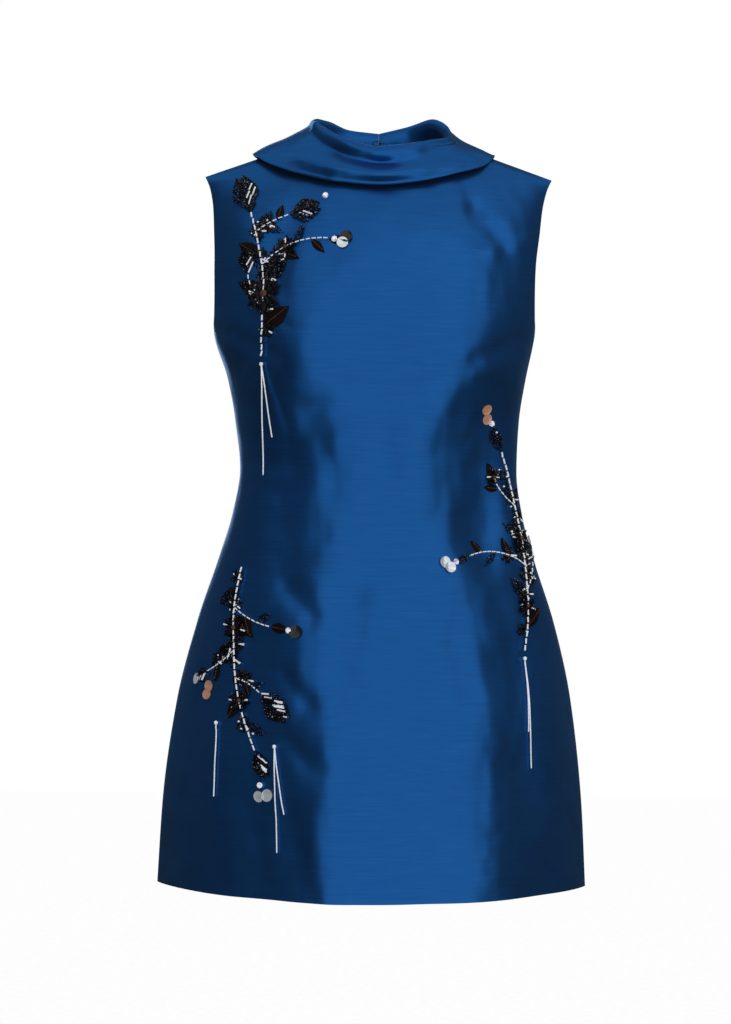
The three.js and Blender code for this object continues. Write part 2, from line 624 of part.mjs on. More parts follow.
const SPRAYS = {
  spray_shoulder: {
    root: [-125, -238],
    sprigs: [
      {
        parent: -1, at: 0, turn: 168, bend: 34, length: 158,
        leaves: 5, first: 0.2, leaf: 40, fullness: 0.52, spread: 50, tip: 46,
      },
      {
        parent: 0, at: 0.3, turn: 42, bend: -30, length: 46,
        leaves: 2, first: 0.3, leaf: 24, fullness: 0.55, spread: 48, tip: 26,
      },
      {
        parent: 0, at: 0.62, turn: -54, bend: -50, length: 80,
        leaves: 3, first: 0.3, leaf: 27, fullness: 0.42, spread: 50, tip: 20,
      },
      {
        parent: 0, at: 0.85, turn: -70, bend: -20, length: 40,
        leaves: 2, first: 0.3, leaf: 22, fullness: 0.5, spread: 48, tip: 36,
      },
    ],
    flowers: [
      { sprig: 0, at: 0.42, radius: 22 },
      { sprig: 2, at: 0.4, radius: 13 },
    ],
  },
  spray_hip: {
    root: [-150, -457],
    sprigs: [
      {
        parent: -1, at: 0, turn: -14, bend: 40, length: 195,
        leaves: 6, first: 0.12, leaf: 34, fullness: 0.5, spread: 48, tip: 30,
      },
      {
        parent: 0, at: 0.22, turn: 58, bend: 28, length: 48,
        leaves: 2, first: 0.3, leaf: 24, fullness: 0.45, spread: 48, tip: 22,
      },
      {
        parent: 0, at: 0.45, turn: -50, bend: -20, length: 42,
        leaves: 2, first: 0.3, leaf: 22, fullness: 0.5, spread: 48, tip: 20,
      },
      {
        parent: 0, at: 0.6, turn: 70, bend: -30, length: 34,
        leaves: 2, first: 0.3, leaf: 18, fullness: 0.5, spread: 46, tip: 42,
      },
    ],
    flowers: [
      { sprig: 0, at: 0.33, radius: 15 },
      { sprig: 0, at: 0.72, radius: 13 },
    ],
  },
  spray_waist: {
    root: [171, -543],
    sprigs: [
      {
        parent: -1, at: 0, turn: 172, bend: 30, length: 215,
        leaves: 6, first: 0.12, leaf: 32, fullness: 0.46, spread: 46, tip: 30,
      },
      {
        parent: 0, at: 0.42, turn: 52, bend: 52, length: 76,
        leaves: 3, first: 0.3, leaf: 23, fullness: 0.42, spread: 50, tip: 18,
      },
      {
        parent: 0, at: 0.72, turn: 50, bend: -40, length: 42,
        leaves: 2, first: 0.3, leaf: 22, fullness: 0.5, spread: 48, tip: 16,
      },
      {
        parent: 0, at: 0.3, turn: -40, bend: 20, length: 34,
        leaves: 2, first: 0.3, leaf: 20, fullness: 0.5, spread: 46, tip: 20,
      },
    ],
    flowers: [
      { sprig: 0, at: 0.55, radius: 14 },
      { sprig: 0, at: 0.22, radius: 12 },
      { sprig: 2, at: 1, radius: 9 },
    ],
  },
};

const DROPS = {
  drops_shoulder: [-125, -245, [[-129, 118], [-117, 75]]],
  drop_hip_side: [-177, -620, [[-179, 74]]],
  drops_hip: [-107, -641, [[-103, 108], [-95, 70]]],
  drops_waist: [171, -550, [[181, 117], [175, 76]]],
};

// The zip runs down inside the centre back.
const ZIP_TOP = -20;
const ZIP_BOTTOM = -470;
const TAPE_WIDTH = 12.5;
const TAPE_WALL = 0.9;
const TAPE_CLEAR = 0.8;
function zipTape(hand) {
  const us = [hand * 0.3, hand * (0.3 + TAPE_WIDTH / 2), hand * (0.3 + TAPE_WIDTH)];
  const pointAt = (x, z) => new THREE.Vector3(x, bodyY('back', x, z), z);
  const lift = WALL + TAPE_CLEAR + TAPE_WALL;
  const heights = ROWS.map((row) => panelPoint('back', 0, row).z);
  const between = heights.filter((z) => z > ZIP_BOTTOM + 6 && z < ZIP_TOP - 3);
  return clothWall(pointAt, us, [ZIP_BOTTOM, ...between, ZIP_TOP], { wall: TAPE_WALL, lift });
}

// The slider and the tab are drawn upright, outwards is +Y and up is +Z, and are then set against
// the slope of the cloth at the top of the zip.
const SLIDER_Z = -25;
const SLIDER_CLEAR = 0.3;
const BAR_OUT = 3.7;
function onZip(geometry) {
  const at = (z) => new THREE.Vector3(0, bodyY('back', 0, z), z);
  const up = at(SLIDER_Z + 3).sub(at(SLIDER_Z - 3)).normalize();
  const outward = new THREE.Vector3(0, up.z, -up.y);
  const basis = new THREE.Matrix4().makeBasis(new THREE.Vector3(1, 0, 0), outward, up);
  return geometry.applyMatrix4(basis.setPosition(at(SLIDER_Z)));
}

// A plate of a shape drawn outwards and up, as thick across as said and centred on the zip.
function acrossZip(shape, thickness) {
  const plate = new THREE.ExtrudeGeometry(shape, {
    depth: thickness,
    bevelEnabled: false,
    curveSegments: 6,
  });
  const turned = new THREE.Matrix4().makeBasis(
    new THREE.Vector3(0, 1, 0), new THREE.Vector3(0, 0, 1), new THREE.Vector3(1, 0, 0),
  );
  return plate.applyMatrix4(turned).translate(-thickness / 2, 0, 0);
}

function zipSlider() {
  const body = new THREE.Shape();
  body.moveTo(SLIDER_CLEAR, -6);
  body.lineTo(1.6, -5);
  body.lineTo(1.9, 0);
  body.lineTo(1.6, 4.5);
  body.lineTo(SLIDER_CLEAR, 5);
  body.closePath();
  const bridge = new THREE.Shape();
  bridge.moveTo(1, -3.6);
  bridge.lineTo(4.6, -3.2);
  bridge.quadraticCurveTo(6.4, -0.2, 4.6, 3);
  bridge.lineTo(1, 3.6);
  bridge.closePath();
  const opening = new THREE.Path();
  opening.moveTo(2.5, -2.1);
  opening.lineTo(4.4, -1.8);
  opening.quadraticCurveTo(5.3, 0, 4.4, 1.8);
  opening.lineTo(2.5, 2.1);
  opening.closePath();
  bridge.holes.push(opening);
  return onZip(joined([acrossZip(body, 5), acrossZip(bridge, 1.8)]));
}

// The tab hangs by the top of its eye from the bridge, turning about the middle of that bar.
const TAB_LENGTH = 21;
const TAB_HALF = 3.1;
const TAB_WALL = 1;
function zipTab() {
  const outline = new THREE.Shape();
  outline.moveTo(-2.1, 0.5);
  outline.lineTo(2.1, 0.5);
  outline.quadraticCurveTo(2.5, -3.5, 1.9, -6);
  outline.bezierCurveTo(2, -9, TAB_HALF, -12, TAB_HALF, -16);
  outline.quadraticCurveTo(TAB_HALF, -TAB_LENGTH, 0, -TAB_LENGTH);
  outline.quadraticCurveTo(-TAB_HALF, -TAB_LENGTH, -TAB_HALF, -16);
  outline.bezierCurveTo(-TAB_HALF, -12, -2, -9, -1.9, -6);
  outline.quadraticCurveTo(-2.5, -3.5, -2.1, 0.5);
  const eye = new THREE.Path();
  eye.moveTo(-1.3, -0.5);
  eye.lineTo(-1.3, -4.4);
  eye.lineTo(1.3, -4.4);
  eye.lineTo(1.3, -0.5);
  eye.closePath();
  outline.holes.push(eye);
  const plate = new THREE.ExtrudeGeometry(outline, {
    depth: TAB_WALL,
    bevelEnabled: false,
    curveSegments: 6,
  });
  plate.translate(0, 0, -TAB_WALL / 2).rotateX(Math.PI / 2).translate(0, BAR_OUT, 0);
  return onZip(joined([plate]));
}

// The hook and the eye that close the collar above the zip, inside its stand.
const HOOK_Z = 7;
const HOOK_WIRE = 0.45;
function hookAndEye() {
  const stand = collarCurve(179.9).getPoint(1.6 / 7).y - COLLAR_WALL / 2;
  const near = stand - 1.4;
  const place = ([x, back, up]) => new THREE.Vector3(x, near - back, HOOK_Z + up);
  const hook = [
    [8.5, 0, 0],
    [5.5, 0, 0],
    [2.7, 0.1, 0],
    [2.2, 1.4, 0],
    [1.1, 1.8, 0],
    [0, 1.4, 0],
    [-0.2, 0, 0],
  ];
  const eye = [
    [1.2, 0, -1.6],
    [1.2, 0, 0],
    [1.2, 0, 1.6],
    [-2.4, 0, 2.2],
    [-6, 0, 1.6],
    [-6, 0, -1.6],
    [-2.4, 0, -2.2],
  ];
  return [
    wire(hook.map(place), HOOK_WIRE, { segments: 16, sides: 5 }),
    wire(eye.map(place), HOOK_WIRE, { segments: 18, sides: 5, ring: true }),
  ];
}

const BEADWORK = new THREE.MeshStandardMaterial({ color: 0x35323a, roughness: 0.3, metalness: 0.2 });
const BEADS = new THREE.MeshStandardMaterial({ color: 0x1d1d22, roughness: 0.2, metalness: 0.3 });
const TAPE = new THREE.MeshStandardMaterial({ color: 0x143c6c, roughness: 0.8, metalness: 0 });
const METAL = new THREE.MeshStandardMaterial({ color: 0xb9bcc2, roughness: 0.3, metalness: 1 });

const group = new THREE.Group();
group.name = 'mini_dress';

function add(name, geometry, material) {
  const swayed = bare(geometry);
  const position = swayed.getAttribute('position');
  for (let i = 0; i < position.count; i += 1) {
    position.setX(i, position.getX(i) + swayAt(position.getZ(i)));
  }
  swayed.computeVertexNormals();
  const mesh = new THREE.Mesh(swayed, material);
  mesh.name = name;
  group.add(mesh);
}

panels.front = new THREE.Mesh(frontPanel());
panels.back_left = new THREE.Mesh(backPanel(1));
add('front', panels.front.geometry, SATIN);
add('back_left', panels.back_left.geometry, SATIN);
add('back_right', backPanel(-1), SATIN);
add('collar', collar(), SATIN);
add('zip_tape_left', zipTape(1), TAPE);
add('zip_tape_right', zipTape(-1), TAPE);
add('zip_slider', zipSlider(), METAL);
add('zip_pull', zipTab(), METAL);
const [hook, eye] = hookAndEye();
add('neck_hook', hook, METAL);
add('neck_eye', eye, METAL);
Object.entries(SPRAYS).forEach(([name, plan]) => add(name, joined(spray(plan)), BEADWORK));
Object.entries(DROPS).forEach(([name, drop]) => add(name, strands(...drop), BEADS));

export default group;
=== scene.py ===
# The looks of the satin mini dress: finer cloth on the same form as its solids, with its smaller
# creases, the beads of the three sprays, the strands, the zip and the studio. Sizes are in
# millimetres in the tables and functions, and become metres when a mesh is made.

import json
import math
import random

import bpy
import numpy as np
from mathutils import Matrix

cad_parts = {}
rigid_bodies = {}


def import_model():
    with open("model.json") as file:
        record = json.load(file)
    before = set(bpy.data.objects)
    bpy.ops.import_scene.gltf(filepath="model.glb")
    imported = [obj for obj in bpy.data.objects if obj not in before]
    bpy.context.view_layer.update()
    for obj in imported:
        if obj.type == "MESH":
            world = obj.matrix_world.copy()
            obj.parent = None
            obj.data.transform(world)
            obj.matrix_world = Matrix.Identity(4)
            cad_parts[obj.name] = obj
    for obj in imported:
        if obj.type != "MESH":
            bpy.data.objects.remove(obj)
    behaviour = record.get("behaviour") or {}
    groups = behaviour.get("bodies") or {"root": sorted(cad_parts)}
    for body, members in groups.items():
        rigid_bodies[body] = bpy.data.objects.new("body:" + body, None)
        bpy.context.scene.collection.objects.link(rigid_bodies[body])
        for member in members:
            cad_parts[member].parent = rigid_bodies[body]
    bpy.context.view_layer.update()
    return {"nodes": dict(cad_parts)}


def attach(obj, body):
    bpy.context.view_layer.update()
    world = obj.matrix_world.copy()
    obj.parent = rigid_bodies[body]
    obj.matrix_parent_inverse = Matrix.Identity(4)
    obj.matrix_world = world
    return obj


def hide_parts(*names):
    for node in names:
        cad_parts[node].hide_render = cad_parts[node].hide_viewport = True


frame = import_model()

MM = 0.001
rng = random.Random(7)

# Driving sizes of the cloth, as in the part
HEM_Z = -799
UNDERARM_Z = -212
FULLNESS = 2.2
BEND = 2 / FULLNESS
NECK_HALF = 80
NECK_DROP = {"front": 43, "back": 12}
SHOULDER_HALF = 187
SHOULDER_FALL = 38
SEAM_SHARE = 0.5
SEAM_HOLD = 8
CLOTH = 1.3

# How finely the cloth is cut up
HALF_COLUMNS = 60
ROWS_TO_UNDERARM = 110
ROWS_TO_SHOULDER = 56
TINY = 1e-3

SECTION_COLUMNS = ("z", "half_width", "front", "back", "turn", "sway")
SECTIONS = [
    (-799, 231, 150, 150, 0.82, 0),
    (-709, 226, 146, 147, 0.76, 0),
    (-601, 212.5, 138, 142, 0.64, 1),
    (-515, 192, 128, 135, 0.54, 2),
    (-450, 170.5, 118, 124, 0.48, 2),
    (-400, 156, 110, 109, 0.45, 2.5),
    (-353, 149, 106, 97, 0.44, 3),
    (-299, 153, 111, 93, 0.44, 1),
    (-255, 160.5, 118, 95, 0.44, 0),
    (-212, 172, 119, 99, 0.44, -2.8),
    (-150, 180, 117, 103, 0.44, -3),
    (-90, 184, 114, 103, 0.44, -1),
    (-40, 186, 111, 101, 0.44, 0),
    (0, 188, 108, 99, 0.44, 0),
]

ARMHOLE_COLUMNS = ("rise", "edge", "front", "back")
ARMHOLE = [
    (0, 172, 1, 1),
    (0.06, 172, 0.985, 0.988),
    (0.13, 171, 0.966, 0.974),
    (0.25, 170.5, 0.946, 0.96),
    (0.45, 171.2, 0.936, 0.95),
    (0.65, 174, 0.94, 0.95),
    (0.8, 176.5, 0.95, 0.957),
    (0.92, 181, 0.963, 0.965),
    (1, SHOULDER_HALF, 0.975, 0.975),
]

BELOW_COLUMNS = ("drop", "front", "back")
BELOW_SHOULDER = [
    (0, 0, 0),
    (6, 0.17, 0.24),
    (20, 0.34, 0.46),
    (45, 0.53, 0.67),
    (80, 0.71, 0.84),
    (120, 0.85, 0.94),
    (170, 0.95, 1),
    (230, 1, 1),
]

BUST = {"x": 88, "z": -238, "height": 9, "spread_x": 48, "spread_z": 58}

# Folds and creases as seen from the front, in rows of x1, z1, x2, z2, width and depth. A negative
# depth is a ridge. The folds are in the solids too. The creases are smaller and only here.
FOLDS = {
    "front": [
        (88, -40, 104, -78, 9, 4),
        (104, -78, 134, -118, 11, 5),
        (128, -122, 168, -108, 10, -4),
        (-84, -78, -112, -156, 18, 5),
        (-104, -236, -150, -212, 9, 3),
        (104, -238, 152, -216, 9, 3),
        (-100, -330, -98, -480, 24, 5),
        (118, -308, 112, -400, 42, 13),
        (40, -312, 34, -392, 22, -5),
        (120, -424, 150, -530, 40, 9),
        (-130, -545, -110, -799, 34, 7),
        (40, -600, 58, -799, 34, 5),
        (150, -560, 178, -799, 30, 6),
        (-44, -640, -52, -799, 30, -5),
    ],
    "back": [
        (70, -60, 128, -140, 14, 4),
        (-66, -64, -122, -150, 14, 5),
        (52, -340, 60, -450, 22, 6),
        (-56, -335, -62, -460, 22, 6),
        (120, -580, 134, -799, 34, 7),
        (-104, -590, -126, -799, 32, 6),
        (50, -640, 56, -799, 30, -5),
        (-46, -660, -50, -799, 28, -4),
    ],
}
CREASES = {
    "front": [
        (-118, -178, -92, -206, 6, 1.4),
        (-132, -190, -100, -222, 5, 1.1),
        (-150, -150, -128, -176, 6, 1.0),
        (-146, -345, -96, -352, 8, 1.3),
        (-144, -364, -104, -380, 7, 1.0),
        (146, -338, 100, -350, 8, 1.3),
        (145, -366, 108, -372, 7, 1.1),
        (-60, -120, 30, -150, 30, 1.3),
        (20, -190, 96, -168, 26, 1.2),
        (-30, -260, 20, -330, 28, -1.2),
        (36, -412, -24, -484, 24, 3.0),
        (-24, -484, -34, -560, 20, 2.2),
        (92, -590, 150, -660, 24, 1.8),
        (60, -700, 120, -760, 22, -1.6),
        (-80, -610, -60, -700, 24, 1.6),
        (-10, -640, 10, -760, 30, 1.2),
        (-92, -478, -66, -506, 10, 2.2),
        (-96, -566, -68, -598, 9, 2.4),
        (-90, -636, -56, -664, 11, 2.4),
        (-84, -716, -62, -799, 16, 3.0),
        (20, -560, 52, -640, 22, 2.2),
        (78, -520, 96, -590, 12, 2.0),
        (-70, -300, -50, -372, 16, 1.8),
        (-150, -430, -120, -520, 22, 1.6),
        (120, -450, 100, -540, 24, 1.4),
        (4, -60, -8, -100, 24, 0.9),
    ],
    "back": [
        (-140, -345, -96, -352, 8, 1.3),
        (142, -340, 100, -352, 8, 1.3),
        (-60, -130, -20, -190, 24, 1.4),
        (64, -150, 24, -220, 26, 1.4),
        (-90, -260, -40, -300, 20, 1.6),
        (92, -255, 40, -290, 20, 1.5),
        (-120, -480, -60, -440, 18, 1.6),
        (116, -470, 56, -436, 18, 1.6),
        (70, -600, 110, -690, 26, 1.8),
        (-80, -620, -110, -720, 26, 1.8),
        (24, -700, 30, -799, 24, 1.4),
        (-20, -560, -26, -680, 26, -1.3),
    ],
}

COLLAR_WALL = 2
COLLAR_SOLID_WALL = 2.4
PANEL_WALL = 2
SEWN_CLEAR = 0.6
ROLL = 4.6
COLLAR_REST = 3.4
COLLAR_COLUMNS = ("turn", "fold_x", "fold_y", "fold_z", "edge_x", "edge_y", "edge_z", "trough", "belly")
COLLAR = [
    (-180, -0.05, 54, 17.5, -9, 82, -45, 0, 2),
    (-150, -33, 48, 20.5, -55, 77, -43, 0, 2),
    (-122, -57, 33, 28, -98, 56, -36, -1, 2),
    (-108, -66, 22, 28.5, -119, 29, -25, -1, 3),
    (-95, -72, 10, 25, -136, 0, -14, -1, 3),
    (-70, -68, -18, 19, -117, -38, -28, -3, 1),
    (-45, -52, -43, 6, -84, -60, -41.5, -2, 3),
    (-22, -28, -62, -7, -44, -75, -51, -1, 5),
    (0, -2, -69, -13.5, 0, -80, -54.8, -1, 6),
    (22, 26, -65, -10.5, 42, -75, -50, -1, 5),
    (45, 54, -45, -3, 80, -60, -39.5, -1, 3),
    (70, 76, -14, 6, 111, -38, -28.5, 0, 2),
    (92, 74, 10, 19, 125, 0, -16, -1, 1),
    (122, 57, 33, 31, 98, 56, -36, -1, 2),
    (150, 33, 48, 25, 55, 77, -43, 0, 2),
    (180, 0.05, 54, 17.5, 9, 82, -45, 0, 2),
]


def column(rows, names, name):
    """A smooth curve through one column of a table, which stays between its rows."""
    x = np.array([row[0] for row in rows], float)
    y = np.array([row[names.index(name)] for row in rows], float)
    slope = np.diff(y) / np.diff(x)
    before = np.concatenate([slope[:1], slope])
    after = np.concatenate([slope, slope[-1:]])
    level = before * after <= 0
    safe_before = np.where(level, 1, before)
    safe_after = np.where(level, 1, after)
    tangent = np.where(level, 0, 2 / (1 / safe_before + 1 / safe_after))

    def value(at):
        at = np.clip(at, x[0], x[-1])
        i = np.clip(np.searchsorted(x, at) - 1, 0, len(slope) - 1)
        span = x[i + 1] - x[i]
        t = (at - x[i]) / span
        start = y[i] * (1 + 2 * t) * (1 - t) ** 2 + tangent[i] * span * t * (1 - t) ** 2
        return start + y[i + 1] * t * t * (3 - 2 * t) + tangent[i + 1] * span * t * t * (t - 1)

    return value


def columns(rows, names):
    return {name: column(rows, names, name) for name in names[1:]}


body = columns(SECTIONS, SECTION_COLUMNS)
arm = columns(ARMHOLE, ARMHOLE_COLUMNS)
below = columns(BELOW_SHOULDER, BELOW_COLUMNS)
roll = columns(COLLAR, COLLAR_COLUMNS)
SIGN = {"front": -1, "back": 1}


def mix(a, b, share):
    return a + (b - a) * share


def shoulder_line(x):
    slope = SHOULDER_FALL / (SHOULDER_HALF - NECK_HALF)
    reach = np.abs(x)
    over_neck = slope / (2 * NECK_HALF) * (NECK_HALF**2 - reach**2)
    return np.where(reach > NECK_HALF, -slope * (reach - NECK_HALF), over_neck)


def body_half_width(side, z):
    rise = (z - UNDERARM_Z) / (-SHOULDER_FALL - UNDERARM_Z)
    above = arm["edge"](rise) / arm[side](rise)
    return np.where(rise <= 0, body["half_width"](z), above)


def fold_depth(rows, x, z):
    total = np.zeros_like(x)
    for x1, z1, x2, z2, width, depth in rows:
        dx, dz = x2 - x1, z2 - z1
        t = np.clip(((x - x1) * dx + (z - z1) * dz) / (dx * dx + dz * dz), 0, 1)
        off = np.hypot(x - x1 - dx * t, z - z1 - dz * t) / width
        total = total + depth * np.exp(-off * off)
    return total


def body_y(side, x, z, width=None):
    """How far the cloth stands before or behind the side seams, at a point seen from the front."""
    x, z = np.broadcast_arrays(np.asarray(x, float), np.asarray(z, float))
    if width is None:
        width = body_half_width(side, z)
    share = np.minimum(np.abs(x) / width, 1)
    turned = (1 - share**FULLNESS) ** body["turn"](z)
    fill = below[side](np.maximum(shoulder_line(x) - z, 0))
    near_seam = (1 - share**SEAM_HOLD) * fill
    bust = 0
    if side == "front":
        across = (np.abs(x) - BUST["x"]) / BUST["spread_x"]
        up = (z - BUST["z"]) / BUST["spread_z"]
        bust = BUST["height"] * np.exp(-across * across - up * up)
    shaped = bust - fold_depth(FOLDS[side], x, z) - fold_depth(CREASES[side], x, z)
    return SIGN[side] * (body[side](z) * turned * fill + shaped * near_seam)


def panel_point(side, across, up):
    """A point of a panel's outer face, before the sway."""
    across, up = np.broadcast_arrays(np.asarray(across, float), np.asarray(up, float))
    reach = np.abs(across)
    hand = np.sign(across)
    low_z = mix(HEM_Z, UNDERARM_Z, np.minimum(up, 1))
    low_width = body["half_width"](low_z)
    low_x = low_width * np.sin(reach * math.pi / 2) ** BEND
    rise = np.maximum(up - 1, 0)
    share = arm[side](rise)
    edge = arm["edge"](rise)
    turn = np.arcsin(share ** (1 / BEND))
    under = np.sin(turn * reach) ** BEND / share
    on_shoulder = mix(NECK_HALF, SHOULDER_HALF, (reach - SEAM_SHARE) / (1 - SEAM_SHARE))
    angle = np.minimum(reach / SEAM_SHARE, 1) * math.pi / 2
    top_x = np.where(reach < SEAM_SHARE, NECK_HALF * np.sin(angle), on_shoulder)
    neck_z = -NECK_DROP[side] * np.cos(angle)
    top_z = np.where(reach < SEAM_SHARE, neck_z, shoulder_line(top_x))
    ease = rise * rise * (3 - 2 * rise)
    high_x = edge * mix(under, top_x / SHOULDER_HALF, ease)
    high_z = mix(UNDERARM_Z, top_z, rise)
    x = hand * np.where(up <= 1, low_x, high_x)
    z = np.where(up <= 1, low_z, high_z)
    width = np.where(up <= 1, low_width, edge / share)
    return np.stack([x, body_y(side, x, z, width), z], -1)


def swayed(points):
    out = np.array(points, float)
    out[..., 0] = out[..., 0] + body["sway"](out[..., 2])
    return out


def unit(v):
    return v / np.maximum(np.linalg.norm(v, axis=-1, keepdims=True), 1e-9)


def grid_shell(point_at, us, vs, wall, lift=0.0, keep=None):
    """Vertices and faces of a closed wall of cloth over a grid. The first half is the outer face."""
    u, v = np.meshgrid(us, vs, indexing="ij")
    small_u = (max(us) - min(us)) * TINY
    small_v = (max(vs) - min(vs)) * TINY
    low_u, high_u = np.clip(u - small_u, min(us), max(us)), np.clip(u + small_u, min(us), max(us))
    low_v, high_v = np.clip(v - small_v, min(vs), max(vs)), np.clip(v + small_v, min(vs), max(vs))
    along_u = point_at(high_u, v) - point_at(low_u, v)
    along_v = point_at(u, high_v) - point_at(u, low_v)
    normal = np.cross(along_u, along_v)
    if keep is not None:
        normal = keep(normal, u, v)
    normal = unit(normal)
    point = point_at(u, v)
    outer = (point + normal * lift).reshape(-1, 3)
    inner = (point + normal * (lift - wall)).reshape(-1, 3)
    nu, nv = len(us), len(vs)
    count = nu * nv
    index = np.arange(count).reshape(nu, nv)
    a, b, c, d = index[:-1, :-1], index[1:, :-1], index[1:, 1:], index[:-1, 1:]
    faces = [np.stack([a, b, c, d], -1).reshape(-1, 4)]
    faces.append(np.stack([a, d, c, b], -1).reshape(-1, 4) + count)
    for edge in (index[:, 0], index[::-1, -1], index[::-1][-1:, ::-1][0], index[-1]):
        p, q = edge[:-1], edge[1:]
        faces.append(np.stack([p + count, q + count, q, p], -1))
    faces = np.concatenate(faces)
    if wall < 0:
        faces = faces[:, ::-1]
    return np.concatenate([outer, inner]), faces, count


def new_object(name, points, faces, materials, material_of=None, smooth=True, sharp_over=None):
    mesh = bpy.data.meshes.new(name)
    mesh.from_pydata((np.asarray(points) * MM).tolist(), [], [list(f) for f in faces])
    mesh.validate()
    for material in materials:
        mesh.materials.append(material)
    if material_of is not None:
        mesh.polygons.foreach_set("material_index", np.asarray(material_of, np.int32))
    mesh.polygons.foreach_set("use_smooth", [smooth] * len(mesh.polygons))
    if sharp_over:
        mesh.set_sharp_from_angle(angle=math.radians(sharp_over))
    mesh.update()
    obj = bpy.data.objects.new(name, mesh)
    bpy.context.scene.collection.objects.link(obj)
    return obj


# Materials
def principled(name):
    material = bpy.data.materials.new(name)
    material.use_nodes = True
    nodes, links = material.node_tree.nodes, material.node_tree.links
    return material, nodes, links, nodes["Principled BSDF"]


def set_inputs(shader, **values):
    for key, value in values.items():
        shader.inputs[key.replace("_", " ")].default_value = value


def noise(nodes, links, stretch, scale, detail=2.0):
    where = nodes.new("ShaderNodeTexCoord")
    mapping = nodes.new("ShaderNodeMapping")
    mapping.inputs["Scale"].default_value = stretch
    texture = nodes.new("ShaderNodeTexNoise")
    texture.inputs["Scale"].default_value = scale
    texture.inputs["Detail"].default_value = detail
    links.new(where.outputs["Object"], mapping.inputs["Vector"])
    links.new(mapping.outputs["Vector"], texture.inputs["Vector"])
    return texture


def ramp(nodes, links, source, low, high, start=0.3, end=0.7):
    stops = nodes.new("ShaderNodeValToRGB")
    stops.color_ramp.elements[0].position = start
    stops.color_ramp.elements[1].position = end
    stops.color_ramp.elements[0].color = low
    stops.color_ramp.elements[1].color = high
    links.new(source, stops.inputs["Fac"])
    return stops.outputs["Color"]


def bump(nodes, links, shader, source, strength, distance):
    node = nodes.new("ShaderNodeBump")
    node.inputs["Strength"].default_value = strength
    node.inputs["Distance"].default_value = distance
    links.new(source, node.inputs["Height"])
    if shader:
        links.new(node.outputs["Normal"], shader.inputs["Normal"])
    return node


def satin(name, low, high, roughness, metallic, slub=0.3):
    """Heavy satin: a smooth face with faint uneven threads that run across the dress."""
    material, nodes, links, shader = principled(name)
    threads = noise(nodes, links, (30, 30, 900), 1.0, 3.0)
    colour = ramp(nodes, links, threads.outputs["Fac"], (*low, 1), (*high, 1))
    links.new(colour, shader.inputs["Base Color"])
    threads_on = bump(nodes, links, shader, threads.outputs["Fac"], slub, 0.0002)
    waves = noise(nodes, links, (1, 1, 0.7), 14.0, 2.0)
    rumpled = bump(nodes, links, None, waves.outputs["Fac"], 0.8, 0.008)
    links.new(rumpled.outputs["Normal"], threads_on.inputs["Normal"])
    set_inputs(shader, Roughness=roughness, Metallic=metallic, Sheen_Weight=0.09, Sheen_Roughness=0.6)
    set_inputs(shader, Sheen_Tint=(0.5, 0.8, 1, 1), Specular_Tint=(0.35, 0.55, 0.8, 1))
    set_inputs(shader, Specular_IOR_Level=0.25)
    return material


def plain(name, low, high, roughness, metallic=0.0, scale=400.0, strength=0.15, span=(0.3, 0.7), **more):
    """A fine-grained material. For jet, crystals and petals the light specks of the grain are painted
    glints and sheen. A glow, if it has one, is painted light and takes the colour of the grain.
    """
    material, nodes, links, shader = principled(name)
    grain = noise(nodes, links, (1, 1, 1), scale)
    colour = ramp(nodes, links, grain.outputs["Fac"], (*low, 1), (*high, 1), *span)
    links.new(colour, shader.inputs["Base Color"])
    bump(nodes, links, shader, grain.outputs["Fac"], strength, 0.0002)
    if "Emission_Strength" in more:
        links.new(colour, shader.inputs["Emission Color"])
    set_inputs(shader, Roughness=roughness, Metallic=metallic, **more)
    return material


SATIN = satin("satin_face", (0.011, 0.1, 0.34), (0.014, 0.12, 0.4), 0.33, 0.92)
SATIN_BACK = satin("satin_wrong_side", (0.008, 0.055, 0.17), (0.01, 0.065, 0.2), 0.6, 0.2)
TAPE = plain("zip_tape", (0.006, 0.03, 0.09), (0.01, 0.045, 0.13), 0.8)
ENAMEL = plain("zip_enamel", (0.008, 0.045, 0.14), (0.01, 0.055, 0.17), 0.3, 0.3)
WIRE = plain("hook_wire", (0.05, 0.05, 0.055), (0.09, 0.09, 0.1), 0.3, 0.9)
# Jet beads: near black, with sparse light grey specks in their colour that are painted glints
JET_PAINTED_GLINTS = plain(
    "jet_beads_painted_glints", (0.002, 0.002, 0.003), (0.5, 0.52, 0.58), 0.2, scale=620.0, span=(0.62, 0.72),
    Specular_IOR_Level=0.25,
)
BRONZE = plain("bronze_beads", (0.05, 0.04, 0.02), (0.12, 0.09, 0.05), 0.2, 0.6)
# Silver-lined beads: near white, with a painted glow that stands in for their glints
SILVER_PAINTED_GLOW = plain("silver_lined_beads_painted_glow", (0.86, 0.9, 0.97), (0.97, 0.99, 1.0), 0.3, 0.0, Emission_Strength=0.18)
# Crystals: violet and white specks in the colour and a glow, all of it painted sparkle
CRYSTAL_PAINTED_SPARKLE = plain(
    "crystals_painted_sparkle", (0.5, 0.4, 0.72), (1.0, 1.0, 1.0), 0.08, 0.1, scale=260.0, span=(0.4, 0.5),
    Emission_Strength=0.3,
)
THREAD = plain(
    "dark_silk", (0.002, 0.002, 0.002), (0.012, 0.005, 0.004), 0.65, scale=900.0, strength=0.5,
    Specular_IOR_Level=0.12,
)
# Copper sequins: their own copper colour, with a painted glow that stands in for their shine
COPPER_PAINTED_GLOW = plain(
    "copper_sequins_painted_glow", (0.62, 0.3, 0.19), (0.72, 0.4, 0.28), 0.3, 0.6, strength=0.03,
    Emission_Strength=0.2,
)
